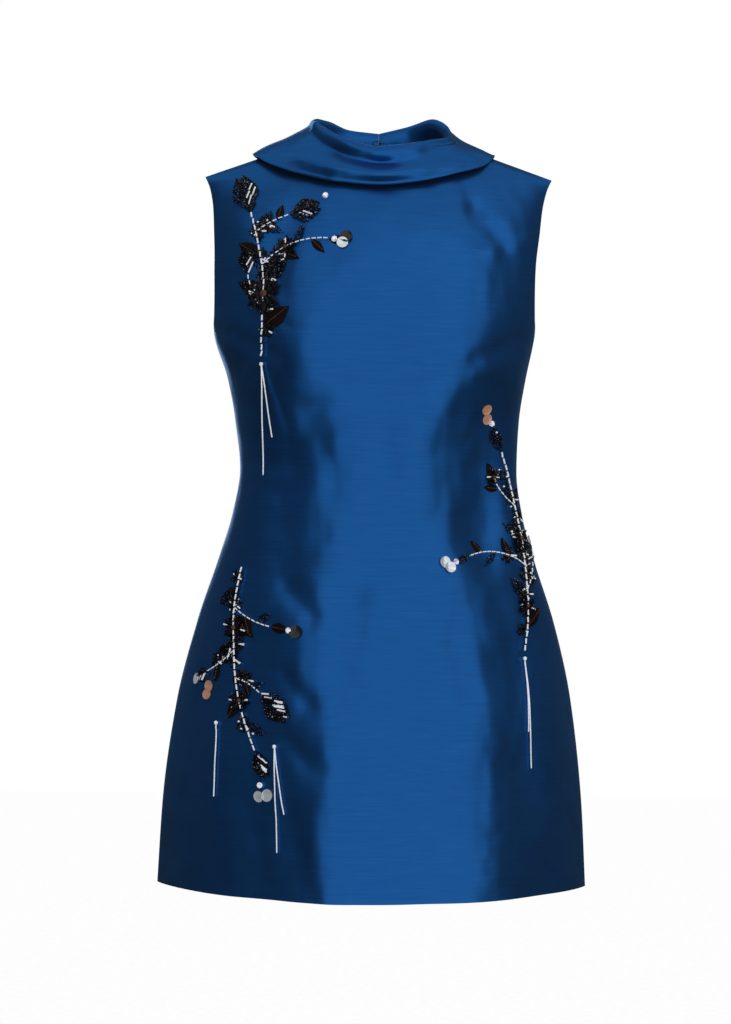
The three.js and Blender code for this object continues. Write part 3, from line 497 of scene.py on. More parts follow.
# Silver sequins: their own silver colour, with a painted glow that stands in for their shine
PEARL_PAINTED_GLOW = plain(
    "silver_sequins_painted_glow", (0.6, 0.66, 0.72), (0.85, 0.88, 0.9), 0.18, 0.7, strength=0.03,
    Emission_Strength=0.16,
)
# Dark petals: near black, with sparse violet specks in their colour that are painted sheen
PETAL = plain(
    "dark_petals_painted_sheen", (0.003, 0.002, 0.004), (0.03, 0.02, 0.04), 0.3, 0.2, span=(0.55, 0.7),
    Specular_IOR_Level=0.2,
)
RESIN = plain("brown_resin", (0.06, 0.018, 0.012), (0.12, 0.04, 0.026), 0.4)
SMOKE = plain("smoke_sequins", (0.02, 0.017, 0.016), (0.035, 0.03, 0.03), 0.15, 0.3, strength=0.03)
BEAD_MATERIALS = [JET_PAINTED_GLINTS, SILVER_PAINTED_GLOW, BRONZE, CRYSTAL_PAINTED_SPARKLE, THREAD, COPPER_PAINTED_GLOW, PEARL_PAINTED_GLOW, SMOKE, PETAL, RESIN, ENAMEL]
MATERIAL_INDEX = {material: i for i, material in enumerate(BEAD_MATERIALS)}


# Cloth
def on_seams(normal, u, v):
    """Keeps the wall in the plane of the side and shoulder seams where the panels meet."""
    meets = ((np.abs(u) >= 1) & (v <= 1)) | ((np.abs(u) >= SEAM_SHARE) & (v >= 2))
    normal[..., 1] = np.where(meets, 0, normal[..., 1])
    return normal


ROWS = np.concatenate([np.linspace(0, 1, ROWS_TO_UNDERARM)[:-1], np.linspace(1, 2, ROWS_TO_SHOULDER)])


def front_panel():
    us = np.linspace(-1, 1, 2 * HALF_COLUMNS + 1)

    def point_at(u, v):
        return panel_point("front", u, v)

    return grid_shell(point_at, us, ROWS, CLOTH, keep=on_seams)


def back_panel(hand):
    us = np.linspace(0, 1, HALF_COLUMNS + 1) if hand > 0 else np.linspace(-1, 0, HALF_COLUMNS + 1)

    def point_at(u, v):
        point = panel_point("back", u, v)
        point[..., 0] = hand * np.abs(point[..., 0])
        return point

    def keep(normal, u, v):
        normal = on_seams(normal, u, v)
        normal[..., 0] = np.where(np.abs(u) < 1e-9, 0, normal[..., 0])
        return normal

    return grid_shell(point_at, us, ROWS, -CLOTH, keep=keep)


def outward_at(turn):
    angle = np.radians(turn)
    return np.stack([np.sin(angle), -np.cos(angle), np.zeros_like(angle)], -1)


def collar_base(turn):
    """Where the collar is sewn on, just inside the neck hole."""
    turn = np.asarray(turn, float)
    hand = np.where(turn < 0, -1.0, 1.0)
    rims = {}
    for side in ("front", "back"):
        share = np.abs(turn) / 180 if side == "front" else (180 - np.abs(turn)) / 180
        share = np.clip(share, 0, 0.6)

        def at(across, up):
            return panel_point(side, hand * np.maximum(across, 1e-6), up)

        along_u = (at(share + TINY, 2) - at(np.maximum(share - TINY, 0), 2)) * hand[..., None]
        along_v = at(share, 2) - at(share, 2 - TINY)
        inward = unit(np.cross(along_u, along_v)) * (-1 if side == "front" else 1)
        rims[side] = at(share, 2) + inward * PANEL_WALL
    is_front = (np.abs(turn) <= 90)[..., None]
    rim = np.where(is_front, rims["front"], rims["back"])
    return rim - outward_at(turn) * (SEWN_CLEAR + COLLAR_SOLID_WALL / 2)


def smooth_path(points, t):
    """A centripetal curve through the points, which lie along the last axis but one."""
    last = points.shape[-2] - 1
    place = np.clip(t, 0, 1) * last
    k = np.minimum(np.floor(place).astype(int), last - 1)
    w = (place - k)[..., None]
    first = 2 * points[..., :1, :] - points[..., 1:2, :]
    end = 2 * points[..., -1:, :] - points[..., -2:-1, :]
    padded = np.concatenate([first, points, end], -2)

    def take(i):
        where = np.broadcast_to((k + i)[..., None, None], k.shape + (1, 3))
        return np.take_along_axis(padded, where, -2)[..., 0, :]

    p0, p1, p2, p3 = take(0), take(1), take(2), take(3)

    def knot(a, b):
        return np.maximum(np.sum((a - b) ** 2, -1, keepdims=True) ** 0.25, 1e-4)

    d0, d1, d2 = knot(p0, p1), knot(p1, p2), knot(p2, p3)
    t1 = ((p1 - p0) / d0 - (p2 - p0) / (d0 + d1) + (p2 - p1) / d1) * d1
    t2 = ((p2 - p1) / d1 - (p3 - p1) / (d1 + d2) + (p3 - p2) / d2) * d1
    c2 = -3 * p1 + 3 * p2 - 2 * t1 - t2
    c3 = 2 * p1 - 2 * p2 + t1 + t2
    return p1 + w * (t1 + w * (c2 + w * c3))


SEARCH_DEPTH = 140
SEARCH_STEPS = 22


def body_height(x, y):
    """How high the cloth of the body is over a point seen from above."""
    high = shoulder_line(x)
    low = high - SEARCH_DEPTH
    for _ in range(SEARCH_STEPS):
        middle = (high + low) / 2
        reach = np.where(y < 0, np.abs(body_y("front", x, middle)), np.abs(body_y("back", x, middle)))
        short = reach < np.abs(y)
        high = np.where(short, middle, high)
        low = np.where(short, low, middle)
    return (high + low) / 2


# Soft creases of the collar, in rows like those of the folds: round it by COLLAR_ROUND mm to a
# degree, and up it by COLLAR_UP mm in all
COLLAR_ROUND = 1.2
COLLAR_UP = 150
COLLAR_DIP = 1.3
COLLAR_HOLLOW_AT = 0.3
COLLAR_FULL_AT = 0.7
COLLAR_LIES_FROM = 0.6
COLLAR_EASE = 2
COLLAR_CREASES = [
    (-88, 94, -40, 104, 10, 2.6),
    (-40, 104, 4, 110, 11, 3.4),
    (4, 110, 40, 122, 9, 1.6),
    (-58, 122, 4, 128, 10, -1.6),
    (4, 128, 62, 112, 10, -1.4),
    (-30, 78, 14, 88, 12, -1.4),
    (-96, 147.6, 96, 147.6, 2.2, -0.7),
    (-140, 104, -112, 118, 10, 2),
    (96, 100, 128, 116, 12, 2),
    (-200, 92, -176, 112, 10, 2),
    (180, 96, 200, 116, 10, 2),
]


def collar_point(turn, v):
    value = {name: roll[name](turn) for name in roll}
    out = outward_at(turn)
    base = collar_base(turn)
    fold = np.stack([value["fold_x"], value["fold_y"], value["fold_z"]], -1)
    edge = np.stack([value["edge_x"], value["edge_y"], value["edge_z"]], -1)
    down = np.array([0, 0, -COLLAR_DIP * ROLL])
    before = fold - out * ROLL + down
    after = fold + out * ROLL + down
    hollow = mix(after, edge, COLLAR_HOLLOW_AT) + out * value["trough"][..., None]
    full = mix(after, edge, COLLAR_FULL_AT) + out * value["belly"][..., None]
    path = np.stack([base, mix(base, before, 0.5), before, fold, after, hollow, full, edge], -2)
    point = smooth_path(path, v)
    point = point - out * fold_depth(COLLAR_CREASES, turn * COLLAR_ROUND, v * COLLAR_UP)[..., None]
    rest = body_height(point[..., 0], point[..., 1]) + COLLAR_REST
    lifted = (point[..., 2] + rest + np.hypot(point[..., 2] - rest, COLLAR_EASE)) / 2
    point[..., 2] = np.where(v > COLLAR_LIES_FROM, lifted, point[..., 2])
    far = np.sign(turn) * np.abs(point[..., 0])
    point[..., 0] = np.where(np.abs(turn) > 90, far, point[..., 0])
    return point


def collar_shell():
    turns = np.linspace(-180, 180, 181)
    stand, over_roll, fall = np.linspace(0, 2, 9), np.linspace(2, 4, 15), np.linspace(4, 7, 46)
    vs = np.concatenate([stand[:-1], over_roll[:-1], fall]) / 7

    def keep(normal, u, v):
        normal[..., 0] = np.where(np.abs(u) >= 180, 0, normal[..., 0])
        return normal

    return grid_shell(collar_point, turns, vs, COLLAR_WALL, COLLAR_WALL / 2, keep)


RIM_ANGLE = 50


def cloth(name, shell, node):
    """A piece of cloth in place of its solid. The collar shows the right side on both its faces."""
    points, faces, count = shell
    is_right_side = np.any(np.asarray(faces) < count, axis=1)
    wrong_side = SATIN if node == "collar" else SATIN_BACK
    material_of = np.where(is_right_side, 0, 1)
    obj = new_object(name, swayed(points), faces, [SATIN, wrong_side], material_of, True, RIM_ANGLE)
    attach(obj, "dress")
    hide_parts(node)


cloth("front_cloth", front_panel(), "front")
cloth("back_left_cloth", back_panel(1), "back_left")
cloth("back_right_cloth", back_panel(-1), "back_right")
cloth("collar_cloth", collar_shell(), "collar")


# Places on the cloth, as mm round the girth from the centre front and height. The way round is
# walked in steps, past the side seam and some way into the back.
GIRTH_STEPS = 90
GIRTH_REACH = 1.4
FRAME_STEP = 0.8


def girth_point(arc, z):
    arc, z = np.broadcast_arrays(np.asarray(arc, float), np.asarray(z, float))
    shape = arc.shape
    arc, z = arc.reshape(-1, 1), z.reshape(-1, 1)
    share = np.linspace(0, GIRTH_REACH, int(GIRTH_STEPS * GIRTH_REACH) + 1)[None, :]
    reach = np.where(share <= 1, share, 2 - share)
    hand = np.where(arc < 0, -1.0, 1.0)
    zz = np.broadcast_to(z, (len(z), share.shape[1]))
    places = {}
    for side in ("front", "back"):
        x = hand * body_half_width(side, zz) * np.sin(reach * math.pi / 2) ** BEND
        places[side] = np.stack([x, body_y(side, x, zz), zz], -1)
    path = np.where((share <= 1)[..., None], places["front"], places["back"])
    step = np.linalg.norm(np.diff(path, axis=1), axis=-1)
    walked = np.concatenate([np.zeros((len(z), 1)), np.cumsum(step, 1)], 1)
    want = np.abs(arc)
    k = np.clip(np.sum(walked < want, axis=1) - 1, 0, step.shape[1] - 1)
    rows = np.arange(len(z))
    t = np.clip((want[:, 0] - walked[rows, k]) / np.maximum(step[rows, k], 1e-9), 0, 1)[:, None]
    return mix(path[rows, k], path[rows, k + 1], t).reshape(shape + (3,))


def girth_frame(arc, z):
    """The point, the way round the girth, the way up and the way out of the cloth there."""
    point = girth_point(arc, z)
    round_way = unit(girth_point(arc + FRAME_STEP, z) - girth_point(arc - FRAME_STEP, z))
    up = girth_point(arc, z + FRAME_STEP) - girth_point(arc, z - FRAME_STEP)
    out = unit(np.cross(round_way, up))
    up = unit(np.cross(out, round_way))
    return swayed(point), round_way, up, out


BEAD_ANGLE = 40


class Beads:
    """Many small beads gathered into one mesh."""

    def __init__(self):
        self.points, self.faces, self.material_of, self.waiting = [], [], [], []
        self.count = 0

    def add(self, shape, arc, z, lift, heading, size, material, pitch=0.0):
        """Heading is the way its long side points, in degrees from straight down."""
        self.waiting.append((shape, arc, z, lift, heading, size, material, pitch))

    def gather(self, points, faces, material):
        self.points.append(points)
        self.faces.extend([tuple(i + self.count for i in face) for face in faces])
        self.material_of.extend([MATERIAL_INDEX[material]] * len(faces))
        self.count += len(points)

    def put(self, shape, place, axes, size, material):
        points, faces = SHAPES[shape]
        self.gather(place + (points * np.asarray(size)) @ axes, faces, material)

    def drape(self, shape, arc, z, lift, heading, size, material, pitch):
        """Lays every point of a thin shape on the cloth, so that it bends with it."""
        points, faces = SHAPES[shape]
        t, s, h = (points * np.asarray(size)).T
        angle = math.radians(heading)
        arcs = arc + math.sin(angle) * t + math.cos(angle) * s
        heights = z - math.cos(angle) * t + math.sin(angle) * s
        places, _, _, outs = girth_frame(arcs, heights)
        places = places + outs * (lift + h + math.tan(math.radians(pitch)) * t)[:, None]
        self.gather(places, faces, material)

    def settle(self):
        """Puts all that waits on the cloth: the thin blades first, then the stiff beads."""
        for blade_waiting in [w for w in self.waiting if w[0] == "blade"]:
            self.drape(*blade_waiting)
        stiff = [w for w in self.waiting if w[0] != "blade"]
        if not stiff:
            return
        arcs = np.array([w[1] for w in stiff], float)
        heights = np.array([w[2] for w in stiff], float)
        places, rounds, ups, outs = girth_frame(arcs, heights)
        for i, (shape, _, _, lift, heading, size, material, pitch) in enumerate(stiff):
            angle, tilt = math.radians(heading), math.radians(pitch)
            level = math.sin(angle) * rounds[i] - math.cos(angle) * ups[i]
            along = math.cos(tilt) * level + math.sin(tilt) * outs[i]
            out = math.cos(tilt) * outs[i] - math.sin(tilt) * level
            axes = np.array([along, np.cross(out, along), out])
            self.put(shape, places[i] + outs[i] * lift, axes, size, material)

    def made(self, name, node, slot):
        self.settle()
        points = np.concatenate(self.points)
        obj = new_object(name, points, self.faces, BEAD_MATERIALS, self.material_of, True, BEAD_ANGLE)
        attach(obj, "dress")
        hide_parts(node)


def prism(sides):
    """A straight bead, one long and one in radius."""
    ring = [(math.cos(2 * math.pi * k / sides), math.sin(2 * math.pi * k / sides)) for k in range(sides)]
    points = [(-0.5, a, b) for a, b in ring] + [(0.5, a, b) for a, b in ring]
    faces = [(k, (k + 1) % sides, (k + 1) % sides + sides, k + sides) for k in range(sides)]
    faces = [face[::-1] for face in faces]
    faces += [tuple(range(sides)), tuple(range(2 * sides - 1, sides - 1, -1))]
    return np.array(points), faces


def lathe(profile, sides):
    """A round shape from (radius, height) pairs that start and end on its axis."""
    inner = profile[1:-1]
    points = [(0, 0, profile[0][1])]
    for radius, height in inner:
        for k in range(sides):
            angle = 2 * math.pi * k / sides
            points.append((radius * math.cos(angle), radius * math.sin(angle), height))
    points.append((0, 0, profile[-1][1]))
    faces = [(0, 1 + k, 1 + (k + 1) % sides) for k in range(sides)]
    for i in range(len(inner) - 1):
        a, b = 1 + i * sides, 1 + (i + 1) * sides
        faces += [(a + k, b + k, b + (k + 1) % sides, a + (k + 1) % sides) for k in range(sides)]
    end, low = len(points) - 1, 1 + (len(inner) - 1) * sides
    faces += [(end, low + (k + 1) % sides, low + k) for k in range(sides)]
    return np.array(points), faces


def blade():
    """A leaf one long from its root, one wide and domed, with a groove along its middle."""
    points, faces = [], []
    lengths = [0.02, 0.15, 0.35, 0.55, 0.75, 0.9, 0.98]
    across = [-1, -0.5, 0, 0.5, 1]
    for layer in (1, 0):
        for t in lengths:
            half = 0.5 * math.sin(math.pi * t**0.85)
            for s in across:
                dome = 0.75 * (1 - s * s) + 0.25
                groove = 0.3 * (1 - abs(s)) ** 2
                points.append((t, half * s, layer * (dome - groove)))
    n = len(across)
    count = len(lengths) * n
    for i in range(len(lengths) - 1):
        for j in range(n - 1):
            a = i * n + j
            faces.append((a, a + n, a + n + 1, a + 1))
            faces.append((count + a, count + a + 1, count + a + n + 1, count + a + n))
        a, b = i * n, i * n + n - 1
        faces.append((a, count + a, count + a + n, a + n))
        faces.append((b, b + n, count + b + n, count + b))
    for j in range(n - 1):
        end = (len(lengths) - 1) * n + j
        faces.append((j, j + 1, count + j + 1, count + j))
        faces.append((end, count + end, count + end + 1, end + 1))
    return np.array(points), faces


def half_circle(steps):
    return [(math.sin(math.pi * i / steps), math.cos(math.pi * i / steps)) for i in range(steps + 1)]


SHAPES = {
    "bugle": prism(6),
    "seed": lathe(half_circle(4), 6),
    "disc": lathe([(0, 0.25), (0.18, 0.2), (0.8, 0.55), (1, 1), (0.97, 0.5), (0.75, 0.0), (0, -0.3)], 16),
    "stone": lathe([(0, 1), (0.55, 1), (1, 0.35), (0.9, -0.3), (0, -0.6)], 8),
    "blade": blade(),
    "dome": lathe([(0, 1), (0.5, 0.85), (0.85, 0.5), (1, 0), (0, -0.1)], 12),
}
BUGLE_RADIUS = 0.85
SEED_RADIUS = 1.25
SEED_PITCH = 2.4
BARB_PITCH = 2.4
BARB_ANGLE = 34
BARB_LENGTH = 10
BARBED_SHARE = 0.88
RIB_PITCH = 3.4
RIB_BEAD = (2.8, 0.5, 0.5)
LEAF_THICK = 1.6
PETAL_THICK = 2.2
CLUSTER_BUGLES = 5
SEED_KINDS = {JET_PAINTED_GLINTS: 0.86, BRONZE: 0.11, SILVER_PAINTED_GLOW: 0.03}


def away(arc, z, heading, far):
    """The arc and height at a distance, in the direction of a heading."""
    way = math.radians(heading)
    return arc + math.sin(way) * far, z - math.cos(way) * far


def leaf_place(arc, z, length, lean, s, t):
    """The arc and height at a share t of a leaf's length, and s mm to the side of its rib."""
    angle = math.radians(lean)
    return (
        arc + length * t * math.sin(angle) + s * math.cos(angle),
        z - length * t * math.cos(angle) + s * math.sin(angle),
    )


def leaf_half(width, t):
    """Half a leaf's width at a share of its length."""
    return width / 2 * math.sin(math.pi * min(max(t, 0.02), 0.98) ** 0.85)


def barb_reach(length, width, t, angle):
    """How far a barb that leaves the midrib at t runs before it meets the leaf's edge."""
    low, high = 0.0, (1 - t) * length / math.cos(angle)
    for _ in range(20):
        middle = (low + high) / 2
        inside = middle * math.sin(angle) < leaf_half(width, t + middle * math.cos(angle) / length)
        low, high = (middle, high) if inside else (low, middle)
    return low


def bugle_leaf(beads, arc, z, length, width, lean, glints=0.0):
    """Bugles laid like the barbs of a feather, with round beads where they end. Glints is the share
    of them that is silver-lined, on the side towards the light: silver beads with a painted glow that stand
    in for glints."""
    rows = int(BARBED_SHARE * length / BARB_PITCH)
    lit_hand = 1 if math.cos(math.radians(lean)) > 0 else -1
    for i in range(rows):
        t = BARBED_SHARE * (i + 0.4) / rows
        for hand in (-1, 1):
            root = leaf_place(arc, z, length, lean, hand * 0.6, t)
            angle = math.radians(BARB_ANGLE + rng.uniform(-6, 6))
            reach = max(barb_reach(length, width, t, angle), 3.0)
            many = max(1, round(reach / BARB_LENGTH))
            each = reach / many
            heading = lean + hand * math.degrees(angle)
            for k in range(many):
                silver = hand == lit_hand and rng.random() < glints
                beads.add(
                    "bugle", *away(*root, heading, each * (k + 0.5)),
                    2.2 + rng.uniform(-0.2, 0.6), heading + rng.uniform(-5, 5),
                    (each * 0.9, BUGLE_RADIUS, BUGLE_RADIUS),
                    SILVER_PAINTED_GLOW if silver else JET_PAINTED_GLINTS, rng.uniform(-4, 7),
                )
            size = (SEED_RADIUS * rng.uniform(0.9, 1.1),) * 3
            beads.add("seed", *away(*root, heading, reach + 1.3), 1.5, 0, size, JET_PAINTED_GLINTS)


def seed_kind():
    return rng.choices(list(SEED_KINDS), list(SEED_KINDS.values()))[0]


def seed_leaf(beads, arc, z, length, width, lean, glints=0.0):
    """Seed beads heaped over a leaf's shape, a few of them bronze."""
    for i in range(int(length / SEED_PITCH)):
        t = (i + 0.5) * SEED_PITCH / length
        half = leaf_half(width, t)
        many = max(1, int(2 * half / SEED_PITCH))
        for k in range(many):
            s = -half + (k + 0.5) * 2 * half / many + rng.uniform(-0.6, 0.6)
            place = leaf_place(arc, z, length, lean, s, t)
            heap = 1.3 + 1.8 * (1 - (s / max(half, 1)) ** 2) * rng.uniform(0.3, 1)
            size = (SEED_RADIUS * rng.uniform(0.8, 1.1),) * 3
            beads.add("seed", *place, heap, 0, size, seed_kind())


def silk_leaf(beads, arc, z, length, width, lean, glints=0.0):
    """A leaf of silk with a rib of thin brown beads."""
    beads.add("blade", arc, z, 0.5, lean, (length, width, LEAF_THICK), THREAD)
    for far in np.arange(3, length - 3, RIB_PITCH):
        beads.add("bugle", *away(arc, z, lean, far), 2.1, lean, RIB_BEAD, RESIN)


def cluster(beads, arc, z, radius):
    """A heap of seed beads with a few bugles stuck out of it."""
    for _ in range(int(radius * radius * 0.75)):
        far = radius * math.sqrt(rng.random())
        turn = rng.uniform(0, 2 * math.pi)
        heap = 1.4 + 2.2 * (1 - (far / radius) ** 2) * rng.random()
        size = (SEED_RADIUS * rng.uniform(0.8, 1.1),) * 3
        beads.add("seed", arc + far * math.cos(turn), z + far * math.sin(turn), heap, 0, size, seed_kind())
    for k in range(CLUSTER_BUGLES):
        turn = 360 * k / CLUSTER_BUGLES + rng.uniform(-20, 20)
        place = away(arc, z, turn, radius * 0.75)
        kind = SILVER_PAINTED_GLOW if k % 4 == 1 else JET_PAINTED_GLINTS
        beads.add("bugle", *place, 2.6, turn, (radius * 0.8, 0.9, 0.9), kind, rng.uniform(4, 18))


def flower(beads, arc, z, lean, radius):
    """Six pointed petals and six smaller ones over them, bugles and seed beads between, a domed heart."""
    for ring, share, lift in ((0, 1.0, 0.8), (1, 0.72, 2.0)):
        for k in range(6):
            turn = lean + 60 * (k + ring * 0.5) + rng.uniform(-7, 7)
            size = (radius * share, radius * share * 0.46, PETAL_THICK)
            beads.add("blade", arc, z, lift, turn, size, PETAL, rng.uniform(4, 14))
    for k in range(10):
        turn = lean + 36 * k + rng.uniform(-10, 10)
        place = away(arc, z, turn, radius * rng.uniform(0.5, 0.75))
        kind = SILVER_PAINTED_GLOW if k % 5 == 2 else JET_PAINTED_GLINTS
        size = (radius * 0.5, BUGLE_RADIUS, BUGLE_RADIUS)
        beads.add("bugle", *place, 3.0, turn, size, kind, rng.uniform(0, 14))
    for _ in range(int(radius * 3)):
        far = radius * rng.uniform(0.2, 0.85)
        turn = rng.uniform(0, 2 * math.pi)
        size = (SEED_RADIUS * rng.uniform(0.7, 1.0),) * 3
        beads.add("seed", arc + far * math.cos(turn), z + far * math.sin(turn), 3.2, 0, size, seed_kind())
    beads.add("dome", arc, z, 3.6, 0, (radius * 0.2, radius * 0.2, 2.6), RESIN)


# A spray grows from its root as sprigs, as in the solids. Each sprig has a stem that bends evenly over
# its length, leaves on alternate sides and one at its tip. Flowers and clusters are rows of sprig,
# share of its length and radius. Jewels are rows of sprig, mm past its tip, mm across, shape, radius
# and material.
TAPER = 0.3
TIP_FULLNESS = 1.15
LEAF_GLINTS = 0.12
TIP_GLINTS = 0.3
MAIN_STEM = (7.2, 5.6, 0.9)
SIDE_STEM = (5.8, 4.4, 0.65)
SPRIG_COLUMNS = (
    "parent", "at", "turn", "bend", "length", "leaves", "first", "leaf", "fullness", "spread", "tip",
    "kinds",
)
B, S, K = bugle_leaf, seed_leaf, silk_leaf
SPRAYS = {
    "shoulder": {
        "root": (-125, -238),
        "sprigs": [
            (-1, 0, 168, 34, 158, 5, 0.2, 40, 0.52, 50, 46, (K, S, B, K, S, B)),
            (0, 0.3, 42, -30, 46, 2, 0.3, 24, 0.55, 48, 26, (B, K, B)),
            (0, 0.62, -54, -50, 80, 3, 0.3, 27, 0.42, 50, 20, (K, S, K, K)),
            (0, 0.85, -70, -20, 40, 2, 0.3, 22, 0.5, 48, 36, (S, K, B)),
        ],
        "flowers": [(0, 0.42, 22), (2, 0.4, 13)],
        "clusters": [
            (0, 0.18, 8), (0, 0.3, 9), (0, 0.55, 12), (0, 0.66, 10), (0, 0.85, 9),
            (1, 0.6, 8), (2, 0.2, 8), (3, 0.4, 8),
        ],
        "jewels": [
            (2, 6, 0, "stone", 3.3, CRYSTAL_PAINTED_SPARKLE),
            (2, 15, -3, "disc", 6, PEARL_PAINTED_GLOW),
            (2, 18, 4, "disc", 6.5, SMOKE),
            (3, 44, 8, "stone", 3.3, CRYSTAL_PAINTED_SPARKLE),
        ],
    },
    "hip": {
        "root": (-150, -457),
        "sprigs": [
            (-1, 0, -14, 40, 195, 6, 0.12, 34, 0.5, 48, 30, (S, K, B, S, K, S, B)),
            (0, 0.22, 58, 28, 48, 2, 0.3, 24, 0.45, 48, 22, (K, S, K)),
            (0, 0.45, -50, -20, 42, 2, 0.3, 22, 0.5, 48, 20, (S, K, B)),
            (0, 0.6, 70, -30, 34, 2, 0.3, 18, 0.5, 46, 42, (K, S, B)),
        ],
        "flowers": [(0, 0.33, 15), (0, 0.72, 13)],
        "clusters": [
            (0, 0.08, 7), (0, 0.2, 9), (0, 0.42, 10), (0, 0.52, 9), (0, 0.62, 9), (0, 0.84, 8),
            (2, 0.6, 7), (3, 0.5, 8),
        ],
        "jewels": [
            (0, 34, -10, "stone", 3.2, CRYSTAL_PAINTED_SPARKLE),
            (0, 44, -16, "disc", 6, PEARL_PAINTED_GLOW),
            (0, 47, -6, "disc", 6.5, PEARL_PAINTED_GLOW),
            (1, 22, 0, "stone", 3.2, CRYSTAL_PAINTED_SPARKLE),
            (1, 30, 0, "disc", 7, SMOKE),
            (2, 22, 0, "disc", 6, PEARL_PAINTED_GLOW),
            (2, 4, 15, "disc", 6, COPPER_PAINTED_GLOW),
            (2, 10, 22, "disc", 5.5, COPPER_PAINTED_GLOW),
        ],
    },
    "waist": {
        "root": (171, -543),
        "sprigs": [
            (-1, 0, 172, 30, 215, 6, 0.12, 32, 0.46, 46, 30, (K, S, B, S, K, S, S)),
            (0, 0.42, 52, 52, 76, 3, 0.3, 23, 0.42, 50, 18, (K, S, K, S)),
            (0, 0.72, 50, -40, 42, 2, 0.3, 22, 0.5, 48, 16, (S, K, K)),
            (0, 0.3, -40, 20, 34, 2, 0.3, 20, 0.5, 46, 20, (S, K, B)),
        ],
        "flowers": [(0, 0.55, 14), (0, 0.22, 12), (2, 1, 9)],
        "clusters": [
            (0, 0.1, 6), (0, 0.3, 9), (0, 0.38, 8), (0, 0.46, 9), (0, 0.65, 9), (0, 0.76, 8),
            (1, 0.25, 8), (3, 0.5, 7),
        ],
        "jewels": [
            (0, 31, 0, "stone", 3.2, CRYSTAL_PAINTED_SPARKLE),
            (0, 38, 5, "disc", 6, COPPER_PAINTED_GLOW),
            (0, 48, 3, "disc", 6, COPPER_PAINTED_GLOW),
            (1, 18, 0, "stone", 3.2, CRYSTAL_PAINTED_SPARKLE),
            (1, 26, 3, "disc", 6, PEARL_PAINTED_GLOW),
            (1, 30, -4, "disc", 6, PEARL_PAINTED_GLOW),
            (3, 23, 2, "disc", 5.5, PEARL_PAINTED_GLOW),
        ],
    },
}


def along(sprig, t):
    """The place and heading at a share of a sprig's stem."""
    start, bend = math.radians(sprig["lean"]), math.radians(sprig["bend"])
    now = start + bend * t
    return (
        sprig["arc"] + sprig["length"] * (math.cos(start) - math.cos(now)) / bend,
        sprig["z"] - sprig["length"] * (math.sin(now) - math.sin(start)) / bend,
        sprig["lean"] + sprig["bend"] * t,
    )


def grown(plan):
    sprigs = []
    for row in plan["sprigs"]:
        sprig = dict(zip(SPRIG_COLUMNS, row))
        root = (*plan["root"], 0) if sprig["parent"] < 0 else along(sprigs[sprig["parent"]], sprig["at"])
        sprig.update(arc=root[0], z=root[1], lean=root[2] + sprig["turn"])
        sprigs.append(sprig)
    return sprigs


def beaded_sprig(beads, sprig, stem):
    for i in range(sprig["leaves"]):
        t = sprig["first"] + (1 - sprig["first"]) * i / sprig["leaves"]
        arc, z, lean = along(sprig, t)
        length = sprig["leaf"] * (1 - TAPER * t)
        lean += sprig["spread"] * (1 if i % 2 else -1)
        sprig["kinds"][i](beads, arc, z, length, length * sprig["fullness"], lean, LEAF_GLINTS)
    arc, z, lean = along(sprig, 1)
    width = sprig["tip"] * sprig["fullness"] * TIP_FULLNESS
    sprig["kinds"][-1](beads, arc, z, sprig["tip"], width, lean, TIP_GLINTS)
    spacing, length, radius = stem
    many = int(sprig["length"] / spacing)
    for i in range(many):
        arc, z, lean = along(sprig, (i + 0.5) / many)
        size = (length, radius, radius)
        beads.add("bugle", arc, z, 2.6 + radius, lean + rng.uniform(-4, 4), size, SILVER_PAINTED_GLOW)


for place, plan in SPRAYS.items():
    beads = Beads()
    sprigs = grown(plan)
    for sprig in sprigs:
        beaded_sprig(beads, sprig, MAIN_STEM if sprig is sprigs[0] else SIDE_STEM)
    for parent, at, radius in plan["clusters"]:
        arc, z, _ = along(sprigs[parent], at)
        cluster(beads, arc + rng.uniform(-5, 5), z + rng.uniform(-5, 5), radius)
    for parent, at, radius in plan["flowers"]:
        flower(beads, *along(sprigs[parent], at), radius)
    for parent, past, across, shape, radius, kind in plan["jewels"]:
        arc, z, lean = along(sprigs[parent], 1)
        spot = leaf_place(arc, z, past, lean, across, 1)
        tilt = rng.uniform(-16, 16) if shape == "disc" else 0
        size = (radius, radius, 1 if tilt else 3)
        beads.add(shape, *spot, 1.6, rng.uniform(0, 360), size, kind, tilt)
    beads.made("beads_" + place, "spray_" + place, "beadwork")


# Hanging strands, as in the solids: the arc and height of the knot, and each strand's end and length
STRAND_RADIUS = 1.2
STRAND_CLEAR = 1.3
STRAND_POINTS = 40
KNOT_RADIUS = 2.6
KNOT_CLEAR = 0.35
KNOT_BEAD = 2.2
STRAND_BUGLE = (5.9, 0.7, 0.7)
STRAND_SEED = 0.6
STRAND_PITCH = 6.4
GIRTH_FLATNESS = 1.6
DROPS = {
    "drops_shoulder": (-125, -245, [(-129, 118), (-117, 75)]),
    "drop_hip_side": (-177, -620, [(-179, 74)]),
    "drops_hip": (-107, -641, [(-103, 108), (-95, 70)]),
    "drops_waist": (171, -550, [(181, 117), (175, 76)]),
}


def out_of(point):
    """The level way out of the body at a point, as if its girth were an ellipse."""
    flat = np.stack([point[..., 0] / GIRTH_FLATNESS, point[..., 1], np.zeros_like(point[..., 0])], -1)
    return unit(flat)


